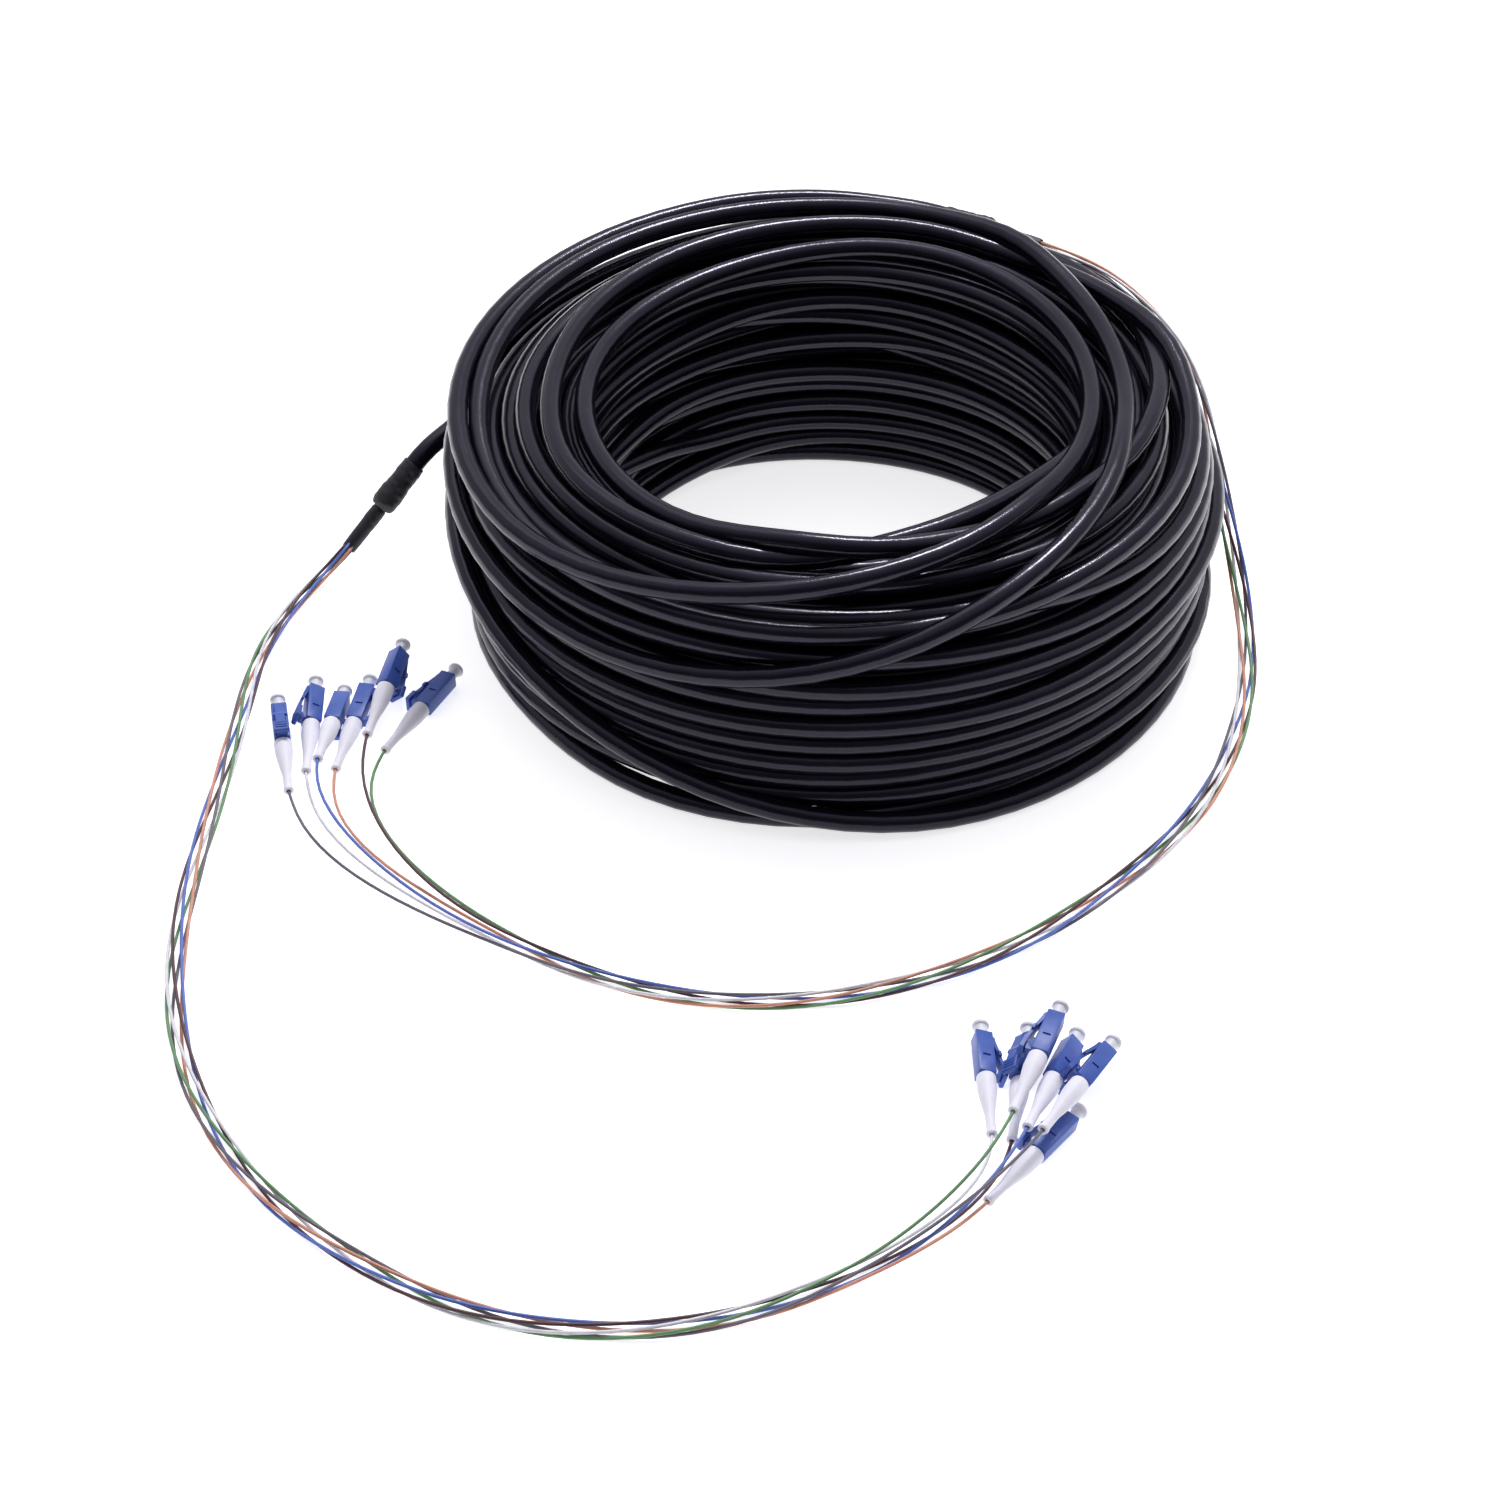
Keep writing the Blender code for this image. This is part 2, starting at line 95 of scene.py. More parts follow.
BUNDLE_B = [
    (0.076, 0.0715, 0.0719), (0.0845, 0.063, 0.0706), (0.0928, 0.053, 0.0674), (0.0992, 0.047, 0.0636),
    (0.104, 0.041, 0.057), (0.1086, 0.030, 0.0485), (0.112, 0.0155, 0.036), (0.1153, 0.0045, 0.0245),
    (0.1186, -0.0055, 0.0125), (0.120, -0.0175, 0.0044), (0.1195, -0.032, 0.0019), (0.1175, -0.048, 0.0018),
    (0.111, -0.073, 0.0018), (0.101, -0.097, 0.0018), (0.086, -0.119, 0.0018), (0.068, -0.138, 0.0018),
    (0.048, -0.155, 0.0018), (0.025, -0.168, 0.0018), (-0.002, -0.177, 0.0018), (-0.028, -0.179, 0.0018),
    (-0.050, -0.175, 0.0018), (-0.070, -0.167, 0.0018), (-0.086, -0.157, 0.0018),
]

# Profiles of the shrunk sleeves: distance from the rear face and radius in metres, from axis to axis.
LARGE_SLEEVE_PROFILE = (
    (0.0060, 0.0), (0.0060, 0.00316), (0.0, 0.00316), (0.0, 0.00335), (0.0005, 0.00347), (0.0030, 0.00350),
    (0.0062, 0.00352), (0.0088, 0.00368), (0.0115, 0.00388), (0.0138, 0.00394), (0.0150, 0.00386),
    (0.0160, 0.00340), (0.0165, 0.00290), (0.0165, 0.00218), (0.0145, 0.00218), (0.0145, 0.0),
)
SMALL_SLEEVE_PROFILE = (
    (-0.0017, 0.0), (-0.0017, 0.0020), (0.0, 0.0021), (0.0007, 0.00234), (0.0040, 0.00236),
    (0.0080, 0.00228), (0.0120, 0.00224), (0.0150, 0.00214), (0.0155, 0.0020), (0.0155, 0.00182),
    (0.0100, 0.00182), (0.0100, 0.0),
)


@dataclass(frozen=True)
class PlugPose:
    """Where a plug lies: its front face's centre, then heading, nose-up pitch, latch roll and twist phase."""

    front: Point
    heading: float
    pitch: float
    roll: float
    phase: float

    def matrix(self) -> Matrix:
        """Gives the plug's pose as a matrix, X forwards and Z towards the latch."""
        turn = Euler((math.radians(self.roll), math.radians(-self.pitch), math.radians(self.heading)), "XYZ")
        return Matrix.Translation(Vector(self.front)) @ turn.to_matrix().to_4x4()


PLUGS = {
    CableEnd.A: {
        Buffer.WHITE: PlugPose((0.0341, -0.193, 0.0031), 91.0, -2.5, 106.0, 180.0),
        Buffer.BROWN: PlugPose((0.0456, -0.1942, 0.00335), 80.7, 0.0, -40.0, 240.0),
        Buffer.GREEN: PlugPose((0.0527, -0.1935, 0.0104), 69.5, -1.0, -86.0, 120.0),
        Buffer.BLUE: PlugPose((0.057, -0.1966, 0.0042), 68.0, -6.0, 132.0, 300.0),
        Buffer.SLATE: PlugPose((0.0652, -0.2012, 0.0061), 60.0, -5.5, -62.0, 60.0),
        Buffer.ORANGE: PlugPose((0.0548, -0.2225, 0.0028), 53.0, -2.0, -80.0, 0.0),
    },
    CableEnd.B: {
        Buffer.SLATE: PlugPose((-0.159, -0.0577, 0.0027), 100.0, 0.6, 0.0, 180.0),
        Buffer.WHITE: PlugPose((-0.1494, -0.0499, 0.0033), 91.5, 0.0, -62.0, 240.0),
        Buffer.BLUE: PlugPose((-0.1414, -0.053, 0.003), 85.0, -10.5, 180.0, 120.0),
        Buffer.ORANGE: PlugPose((-0.1346, -0.0492, 0.0032), 81.0, 0.0, 92.0, 300.0),
        Buffer.BROWN: PlugPose((-0.1258, -0.0388, 0.0081), 80.0, 1.5, 142.0, 60.0),
        Buffer.GREEN: PlugPose((-0.1115, -0.0434, 0.0027), 64.4, 0.0, -92.0, 0.0),
    },
}


def catmull_rom(points: list[Vector], steps: int = 12) -> list[Vector]:
    """Reads many points from a smooth curve through the given ones.

    Args:
        points: The points that the curve passes through.
        steps: How many points are read between two neighbours.

    Returns:
        The points along the curve, both ends among them.
    """
    padded = [points[0] * 2 - points[1], *points, points[-1] * 2 - points[-2]]
    curve = []
    for index in range(1, len(padded) - 2):
        before, start, end, after = padded[index - 1 : index + 3]
        for step in range(steps):
            t = step / steps
            bend = (2 * before - 5 * start + 4 * end - after) * t**2
            turn = (3 * start - before - 3 * end + after) * t**3
            curve.append(0.5 * (2 * start + (end - before) * t + bend + turn))
    curve.append(points[-1].copy())
    return curve


def evenly_spaced(curve: list[Vector], count: int) -> list[Vector]:
    """Picks points at equal distances along a curve.

    Args:
        curve: The points of the curve.
        count: How many points are wanted, the two ends among them.

    Returns:
        The picked points.
    """
    line = np.array([tuple(point) for point in curve])
    travelled = np.concatenate([[0.0], np.cumsum(np.linalg.norm(np.diff(line, axis=0), axis=1))])
    wanted = np.linspace(0.0, travelled[-1], count)
    columns = [np.interp(wanted, travelled, line[:, axis]) for axis in range(3)]
    return [Vector(row) for row in np.stack(columns, axis=1)]


def dense_profile(points: tuple[Pair, ...], step: float) -> list[Pair]:
    """Adds points to a profile.

    Args:
        points: The profile's points in order.
        step: The greatest distance that stays between neighbours.

    Returns:
        The old and the new points.
    """
    dense = [points[0]]
    for start, end in zip(points, points[1:]):
        count = max(1, math.ceil(math.dist(start, end) / step))
        dense += [tuple(a + (b - a) * k / count for a, b in zip(start, end)) for k in range(1, count + 1)]
    return dense


def soften(line: np.ndarray, passes: int) -> None:
    """Rounds the corners of a line in place, and leaves its first and last row."""
    for _ in range(passes):
        line[1:-1] = (line[:-2] + 2 * line[1:-1] + line[2:]) / 4.0


def linked(name: str, data: bpy.types.ID) -> Piece:
    """Makes an object of the data and links it to the scene.

    Args:
        name: The object's name.
        data: Its mesh, camera or light.

    Returns:
        The object.
    """
    item = bpy.data.objects.new(name, data)
    bpy.context.scene.collection.objects.link(item)
    return item


def tube(name: str, line: np.ndarray, radius: float, sides: int) -> Piece:
    """Sweeps a round section along a line and closes both ends.

    Args:
        name: The new object's name.
        line: The centreline, one point a row.
        radius: The section's radius.
        sides: How many faces the section has.

    Returns:
        The linked object, smooth shaded.
    """
    ahead = np.gradient(line, axis=0)
    ahead /= np.linalg.norm(ahead, axis=1)[:, None]
    across = np.zeros_like(line)
    start = np.cross(ahead[0], (0.0, 0.0, 1.0))
    across[0] = start / np.linalg.norm(start)
    for index in range(1, len(line)):
        moved = across[index - 1] - ahead[index] * np.dot(across[index - 1], ahead[index])
        across[index] = moved / np.linalg.norm(moved)
    upward = np.cross(ahead, across)
    angles = np.linspace(0.0, math.tau, sides, endpoint=False)[None, :, None]
    rim = across[:, None, :] * np.cos(angles) + upward[:, None, :] * np.sin(angles)
    verts = (line[:, None, :] + rim * radius).reshape(-1, 3)
    ring = np.arange(sides)
    following = (ring + 1) % sides
    base = (np.arange(len(line) - 1) * sides)[:, None]
    quads = np.stack([base + ring, base + following, base + sides + following, base + sides + ring], axis=2)
    faces = quads.reshape(-1, 4).tolist()
    faces.append(ring[::-1].tolist())
    faces.append((ring + (len(line) - 1) * sides).tolist())
    mesh = bpy.data.meshes.new(name)
    mesh.from_pydata(verts.tolist(), [], faces)
    mesh.shade_smooth()
    return linked(name, mesh)


class NodeSheet:
    """The nodes of a material or a room, with short calls that add and link them."""

    def __init__(self, tree: bpy.types.NodeTree) -> None:
        """Opens a node tree.

        Args:
            tree: The material's or the room's tree.
        """
        self.nodes = tree.nodes
        self.links = tree.links

    def feed(self, node: bpy.types.Node, inputs: dict[str | int, object]) -> bpy.types.Node:
        """Gives a node's inputs their values.

        Args:
            node: The node.
            inputs: A constant, or another node's socket, for each input.

        Returns:
            The node.
        """
        for key, value in inputs.items():
            if isinstance(value, Socket):
                self.links.new(value, node.inputs[key])
            else:
                node.inputs[key].default_value = value
        return node

    def add(self, kind: str, inputs: dict[str | int, object], **settings: str) -> bpy.types.Node:
        """Adds a node.

        Args:
            kind: What follows ShaderNode in its type name.
            inputs: A constant, or another node's socket, for each input.
            settings: Attributes of the node itself.

        Returns:
            The node.
        """
        node = self.nodes.new(f"ShaderNode{kind}")
        for key, value in settings.items():
            setattr(node, key, value)
        return self.feed(node, inputs)


@dataclass(frozen=True)
class Noise:
    """A noise of so many waves a metre. A relief has a height in metres and a strength as well."""

    scale: float
    detail: float = 2.0
    finer: float = 0.5
    height: float = 0.0
    strength: float = 0.5

    def add_to(self, sheet: NodeSheet) -> Socket:
        """Adds the noise on the piece's own coordinates.

        Args:
            sheet: The material's nodes.

        Returns:
            The socket with its value.
        """
        place = sheet.add("TexCoord", {}).outputs["Object"]
        inputs = {"Vector": place, "Scale": self.scale, "Detail": self.detail, "Roughness": self.finer}
        return sheet.add("TexNoise", inputs).outputs["Fac"]


@dataclass(frozen=True)
class Finish:
    """What finishes share: linear colour and roughness that follow a faint cloud, and layers of relief."""

    name: str
    dark: Point
    light: Point
    cloud: Noise
    cloud_low: float
    roughness: Pair
    relief: tuple[Noise, ...] = ()
    constants: tuple[tuple[str, object], ...] = ()

    def build(self) -> Material:
        """Makes the material.

        Returns:
            The material.
        """
        material = bpy.data.materials.new(self.name)
        material.use_nodes = True
        sheet = NodeSheet(material.node_tree)
        cloud = self.cloud.add_to(sheet)
        blend = sheet.add("ValToRGB", {"Fac": cloud})
        stops = ((self.cloud_low, self.dark), (0.7, self.light))
        for element, (place, colour) in zip(blend.color_ramp.elements, stops):
            element.position = place
            element.color = (*colour, 1.0)
        polish, high = self.roughness
        if high > polish:
            limits = {"From Min": 0.3, "From Max": 0.7, "To Min": polish, "To Max": high}
            polish = sheet.add("MapRange", {"Value": cloud, **limits}).outputs["Result"]
        under = {}
        for layer in self.relief:
            inputs = {"Height": layer.add_to(sheet), "Distance": layer.height, "Strength": layer.strength}
            under = {"Normal": sheet.add("Bump", {**inputs, **under}).outputs["Normal"]}
        inputs = {"Base Color": blend.outputs["Color"], "Roughness": polish}
        sheet.feed(sheet.nodes["Principled BSDF"], {**inputs, **under, **dict(self.constants)})
        return material


@dataclass(frozen=True)
class JacketFinish(Finish):
    """Glossy black polyethylene with a fine pebble over faint long waves."""

    name: str = "black polyethylene jacket"
    dark: Point = (0.0032, 0.0024, 0.0060)
    light: Point = (0.0052, 0.0042, 0.0092)
    cloud: Noise = Noise(90.0, 3.0)
    cloud_low: float = 0.35
    roughness: Pair = (0.17, 0.22)
    relief: tuple[Noise, ...] = (
        Noise(420.0, height=0.00006, strength=0.35), Noise(2200.0, 1.5, 0.6, height=0.00005, strength=0.6),
    )
    constants: tuple[tuple[str, object], ...] = (("IOR", 1.44), ("Specular Tint", (0.84, 0.80, 1.0, 1.0)))


@dataclass(frozen=True)
class ShrinkFinish(Finish):
    """Black heat-shrink tube, matt, with faint wrinkles under a fine grain."""

    name: str = "black heat shrink"
    dark: Point = (0.008, 0.0072, 0.011)
    light: Point = (0.013, 0.012, 0.017)
    cloud: Noise = Noise(260.0, 3.0)
    cloud_low: float = 0.35
    roughness: Pair = (0.42, 0.55)
    relief: tuple[Noise, ...] = (Noise(500.0, 3.0, height=0.00015), Noise(3500.0, height=0.00003))


@dataclass(frozen=True)
class FloorFinish(Finish):
    """Plain pale floor."""

    name: str = "pale floor"
    dark: Point = (0.86, 0.86, 0.87)
    light: Point = (0.88, 0.88, 0.89)
    cloud: Noise = Noise(6.0)
    cloud_low: float = 0.3
    roughness: Pair = (0.9, 0.9)
    constants: tuple[tuple[str, object], ...] = (
        ("Emission Color", (1.0, 1.0, 1.0, 1.0)), ("Emission Strength", 0.72),
    )


@dataclass(frozen=True)
class PlasticFinish:
    """Moulded plastic: a body colour with faint cloudiness and a fine spark-eroded grain."""

    name: str
    colour: Point
    roughness: float = 0.42
    cloudiness: float = 0.10
    cloud: Noise = Noise(300.0)
    grain: Noise = Noise(5200.0, height=0.00002, strength=0.6)

    def build(self) -> Material:
        """Makes the plastic's material.

        Returns:
            The material.
        """
        dark = tuple(value * (1.0 - self.cloudiness) for value in self.colour)
        light = tuple(min(1.0, value * (1.0 + self.cloudiness / 2)) for value in self.colour)
        polish = (self.roughness - 0.04, self.roughness + 0.06)
        return Finish(self.name, dark, light, self.cloud, 0.3, polish, (self.grain,)).build()


@dataclass(frozen=True)
class Key:
    """A point that the winding is laid through: turns travelled, radius and height in millimetres."""

    turns: float
    radius: float
    height: float


# The winding where it leaves the neat layers: angle in degrees, radius and height in millimetres.
LOW_TURNS = (
    (135.5, 111.4, 44.0), (100, 111.2, 43.0), (20, 108.4, 42.0), (5, 107.0, 42.0), (350, 106.2, 42.5),
    (335, 106.5, 43.0), (312, 107.2, 42.0), (298, 107.4, 39.5), (286, 107.2, 36.5), (270, 106.0, 34.5),
)
FLOOR_TURN = (
    (285, 104.8, 9.7), (300, 104.6, 6.2), (292, 105.3, 5.2), (285, 105.4, 4.2), (278, 105.3, 3.5),
    (272, 105.4, 3.0), (264, 106.6, 3.0), (258, 108.0, 3.0), (252, 108.5, 3.0), (246, 109.0, 3.0),
    (240, 109.0, 3.0), (233, 108.6, 3.0), (223, 104.8, 3.0), (211, 103.8, 3.0), (194, 105.0, 3.0),
    (140, 105.0, 3.0), (60, 105.0, 3.0), (358, 104.5, 3.0), (340, 104.4, 3.0), (329, 105.4, 3.0),
    (316, 107.0, 3.0), (307, 108.8, 3.0), (299, 110.6, 3.0), (293, 111.2, 3.0), (287, 111.0, 3.0),
    (281, 110.8, 3.2), (275, 110.9, 3.8), (270, 111.0, 4.8), (264, 111.2, 6.4), (258, 111.2, 8.6),
    (253, 111.2, 10.6), (244, 111.2, 14.5), (234, 111.2, 19.5), (226, 111.2, 23.5), (214, 111.2, 28),
    (198, 111.2, 35.5), (190, 111, 38.5), (165, 110.5, 39.5), (140, 110.5, 38.5), (60, 108.5, 39),
    (300, 105.5, 40.5),
)
LOOSE_TURNS = (
    (312, 70, 74.5), (303, 71.5, 76), (295, 75.5, 77), (285, 79, 77.5), (276, 82, 77.5), (268, 84.5, 77.5),
    (260, 87, 77.5), (245, 91.2, 77.5), (228, 90.8, 77.5), (211, 90.1, 77.5), (189, 80.8, 77.5),
    (166, 79.1, 77.5), (149, 79.9, 77.5), (113, 82, 77.5), (60, 88, 77.0), (0, 98, 74), (340, 103, 72),
    (320, 105, 70), (290, 105, 66), (260, 105, 64.5), (220, 106, 66), (200, 106, 70), (180, 102, 75),
    (150, 99.5, 77), (120, 97.5, 77), (90, 97, 76.5), (75, 96.2, 76.5), (65, 95.2, 77), (56, 92, 77),
    (47, 88, 77), (36, 83.8, 77), (19, 80.5, 77.5), (2, 79.6, 77.5), (345, 81.8, 78), (333, 85.3, 78),
    (318, 92.2, 78), (302, 102.3, 77.5), (292, 108.8, 75), (281, 111, 65), (272, 111, 59), (264, 111, 54.5),
    (255, 111, 50.5), (240, 110.8, 48), (220, 110.5, 48.5), (200, 110.3, 51), (180, 109.5, 56),
    (163, 107.5, 60.5), (148, 105.8, 63.5), (130, 104.3, 64.6), (100, 103, 66), (75, 101, 69),
    (60, 99, 71.3), (40, 98.5, 71.3), (20, 97, 72), (0, 92, 75.5), (340, 87.5, 78), (310, 83.5, 78),
    (285, 84, 77.5), (268, 85.6, 77.5), (258, 86.6, 77.5), (250, 86.4, 77.5), (240, 85.2, 77.5),
    (233, 83.7, 77.5), (225, 81, 77), (209, 76, 76.5), (194, 73.5, 76), (181, 70.4, 75.5), (153, 69.2, 75),
    (129, 68.7, 75), (113, 69.5, 75), (93, 71.2, 76), (82, 74, 77.5), (62, 74.3, 77.5), (43, 73.7, 77),
    (24, 71.3, 76), (6, 70.7, 75), (352, 71.5, 75.5), (340, 72.7, 76), (325, 77, 78), (303, 85, 79.5),
    (288, 91, 80), (271, 101, 79.5), (258, 107, 77.5), (246, 108, 74.5), (233, 108.5, 71), (216, 111, 68),
    (199, 111, 73.5), (189, 108.6, 74.5), (174, 105.6, 75.5), (158, 105, 75.5), (140, 104.5, 75),
    (123, 104.0, 75.6), (115.5, 103.7, 75.6),
)


@dataclass(frozen=True)
class WoundCable:
    """The round black cable: a coil of some seventy turns, and both free ends up to their sleeves.

    The diameter is in metres, all other lengths in millimetres. Waves are how far the laid cable strays, and
    a hold is the share of the way back to its wanted place that it goes in a round of settling.
    """

    diameter: float = 0.006
    sides: int = 14
    start_angle: float = 135.5
    stations: int = 72
    bore: float = 75.0
    bore_slack: float = 1.6
    lean: float = 3.4
    lean_angle: float = 245.0
    lean_depth: float = 15.0
    pitch: float = 6.0
    layer: float = 6.2
    layers: int = 12
    lowest: float = 3.0
    layer_change: float = 0.12
    side_change: float = 0.3
    side_run: float = 0.7
    floor_number: int = 4
    floor_last: int = -4
    loose_angle: float = 330.0
    seed: int = 11
    wave_step: int = 9
    wall_waves: float = 1.5
    first_waves: float = 0.4
    first_turns: float = 8.2
    loose_waves: float = 0.25
    floor_waves: float = 0.1
    wall_hold: float = 0.03
    loose_hold: float = 0.10
    floor_hold: float = 0.40
    rounds: int = 260
    spacing: float = 1.012
    push_share: float = 0.55
    weight: float = 0.05
    weight_from: float = 0.3
    late_from: float = 0.7
    late_fade: float = 0.25
    stiffness: float = 0.35
    late_stiffness: float = 0.12

    def turn_of(self, angle: float, number: int) -> float:
        """Gives the turns travelled at an angle, in the numbered turn after the start."""
        return ((self.start_angle - angle) % 360.0) / 360.0 + number

    def column(self, keys: list[Key], slot: int, up: bool, high: float) -> None:
        """Winds one column of the wall, from the floor up or down to it.

        Args:
            keys: The winding so far, which grows.
            slot: The column's number, 0 at the bore.
            up: Whether it climbs.
            high: Height of its highest turn.
        """
        radius = self.bore + slot * self.pitch
        first, last = (self.lowest, high) if up else (high, self.lowest)
        start = keys[-1].turns + self.layer_change
        keys.append(Key(start, radius, first))
        keys.append(Key(start + (high - self.lowest) / self.layer, radius, last))

    def stretch(self, number: int, places: tuple[Point, ...]) -> list[Key]:
        """Turns places along the cable into keys.

        Args:
            number: The turn in which the first place lies.
            places: Angle in degrees, radius and height, in the order of travel.

        Returns:
            The keys, each later than the one before.
        """
        keys = []
        for angle, radius, height in places:
            turns = self.turn_of(angle, number)
            while keys and turns < keys[-1].turns:
                number += 1
                turns = self.turn_of(angle, number)
            keys.append(Key(turns, radius, height))
        return keys

    def schedule(self) -> tuple[list[Key], float]:
        """Lays out the winding in the order in which the cable runs.

        Returns:
            The keys of the winding, and the turn from which it lies loose on top.
        """
        top = self.lowest + (self.layers - 1) * self.layer
        keys = self.stretch(0, LOW_TURNS) + self.stretch(self.floor_number, FLOOR_TURN)
        shoulder = top - 2 * self.layer
        start = keys[-1].turns + (shoulder - keys[-1].height) / self.layer
        keys.append(Key(start, self.bore + 5 * self.pitch, shoulder))
        self.column(keys, 4, False, top - self.layer)
        self.column(keys, 3, True, top)
        self.column(keys, 2, False, top)
        start = keys[-1].turns
        for level in range(self.layers - 1):
            for step, slot in enumerate((1, 0) if level % 2 == 0 else (0, 1)):
                place = start + self.side_change + 2 * level + step
                for turns in (place, place + self.side_run):
                    keys.append(Key(turns, self.bore + slot * self.pitch, self.lowest + level * self.layer))
        whole = math.ceil(keys[-1].turns - self.turn_of(self.loose_angle, 0))
        return keys + self.stretch(whole, LOOSE_TURNS), self.turn_of(self.loose_angle, whole)

    def waves(self, count: int) -> np.ndarray:
        """Makes slow waves along the cable, as a hand-wound coil has them.

        Args:
            count: How many points the winding has.

        Returns:
            Offsets in radius and height, for waves of one millimetre.
        """
        random = np.random.default_rng(self.seed)
        coarse = random.normal(0.0, 1.0, (count // self.wave_step + 4, 2))
        place = np.arange(count) / self.wave_step
        index = place.astype(int)
        share = (place - index)[:, None]
        share = share * share * (3.0 - 2.0 * share)
        return coarse[index] * (1.0 - share) + coarse[index + 1] * share

    def pushes(self, grid: np.ndarray) -> np.ndarray:
        """Finds how overlapping turns push each other apart.

        Args:
            grid: Radius and height of every turn, for each station round the coil.

        Returns:
            The move of every turn, in the same order.
        """
        apart = grid[:, :, None, :] - grid[:, None, :, :]
        distance = np.sqrt((apart**2).sum(axis=3)) + 1e-9
        itself = np.eye(grid.shape[1], dtype=bool)[None]
        reach = self.diameter / MM * self.spacing
        overlap = np.where(itself, 0.0, np.clip(reach - distance, 0.0, None))
        touching = np.maximum(1.0, (overlap > 0.02).sum(axis=2))
        moves = (apart * (overlap / distance)[..., None]).sum(axis=2)
        return moves / np.sqrt(touching)[..., None] * self.push_share

    def settle(self, wanted: np.ndarray, hold: np.ndarray, loose: int, free: np.ndarray) -> np.ndarray:
        """Presses the turns apart until they lie beside and on each other.

        Args:
            wanted: Radius and height of every point.
            hold: How firmly each point keeps its place, 0 to 1.
            loose: The first point that lies on top and comes to rest under its weight.
            free: How far each point may be pushed, 0 to 1.

        Returns:
            The settled radius and height of every point.
        """
        count = len(wanted)
        rows = -(-count // self.stations)
        laid = np.empty((rows * self.stations, 2))
        laid[:count] = wanted
        spare = np.arange(rows * self.stations - count)
        laid[count:] = np.stack([900.0 + 20.0 * spare, np.zeros(len(spare))], axis=1)
        around = np.radians(self.start_angle - np.arange(loose) * 360.0 / self.stations)
        lean = self.lean * np.cos(around - math.radians(self.lean_angle))
        innermost = self.bore - self.bore_slack + lean
        for step in range(self.rounds):
            late = step > self.rounds * self.late_from
            grid = laid.reshape(rows, self.stations, 2).transpose(1, 0, 2)
            laid = (grid + self.pushes(grid)).transpose(1, 0, 2).reshape(-1, 2)
            body = laid[:count]
            fade = self.late_fade if late else 1.0
            body += (wanted - body) * hold[:, None] * fade
            if step > self.rounds * self.weight_from:
                body[loose:, 1] -= self.weight * fade
            smooth = body.copy()
            smooth[2:-2] = (body[:-4] + 4 * body[1:-3] + 6 * body[2:-2] + 4 * body[3:-1] + body[4:]) / 16.0
            body += (smooth - body) * (self.late_stiffness if late else self.stiffness)
            body[:, 1] = np.maximum(body[:, 1], self.diameter / MM / 2)
            body[:loose, 0] = np.maximum(body[:loose, 0], innermost)
            laid[:count] = wanted + (body - wanted) * free[:, None]
        return laid[:count]

    def winding(self) -> np.ndarray:
        """Lays the coil's turns.

        Returns:
            The centreline of the coil in metres, one point a row.
        """
        keys, loose_turn = self.schedule()
        count = int(round(keys[-1].turns * self.stations)) + 1
        turns = np.arange(count) / self.stations
        places = [key.turns for key in keys]
        radius = np.interp(turns, places, [key.radius for key in keys])
        height = np.interp(turns, places, [key.height for key in keys])
        wanted = np.stack([radius, height], axis=1)
        soften(wanted, 6)
        angle = np.radians(self.start_angle - turns * 360.0)
        loose = int(loose_turn * self.stations)
        inner = np.clip((self.bore + self.lean_depth - wanted[:loose, 0]) / self.lean_depth, 0.0, 1.0)
        wanted[:loose, 0] += self.lean * inner * np.cos(angle[:loose] - math.radians(self.lean_angle))
        low = self.stretch(self.floor_number, FLOOR_TURN)
        floor = (turns > low[0].turns) & (turns < low[self.floor_last].turns)
        amount = np.full(count, self.wall_waves)
        amount[: int(self.first_turns * self.stations)] = self.first_waves
        amount[loose:] = self.loose_waves
        amount[floor] = self.floor_waves
        wanted += self.waves(count) * amount[:, None]
        wanted[:3] = (keys[0].radius, keys[0].height)
        hold = np.full(count, self.wall_hold)
        hold[loose:] = self.loose_hold
        hold[floor] = self.floor_hold
        ease = np.clip(np.arange(count) / 8.0, 0.0, 1.0)
        laid = self.settle(wanted, hold, loose, np.minimum(ease, ease[::-1]))
        return np.stack([laid[:, 0] * np.cos(angle), laid[:, 0] * np.sin(angle), laid[:, 1]], axis=1) * MM

    def build(self, breakouts: dict[CableEnd, "Breakout"], finish: Material) -> None:
        """Args:
            breakouts: The sleeves at both ends.
            finish: The jacket's material.
        """
        lead_a = breakouts[CableEnd.A].lead_line(LEAD_A)[::-1]
        lead_b = breakouts[CableEnd.B].lead_line(LEAD_B)
        line = np.concatenate([lead_a[:-1], self.winding(), lead_b])
        soften(line, 2)
        piece = tube("cable_jacket", line, self.diameter / 2, self.sides)
        piece.data.materials.append(finish)
        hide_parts("coil", "a_cable_end", "b_cable_end")
        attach(piece, "cable")
        [sleeve for breakout in breakouts.values() for sleeve in breakout.sleeves]


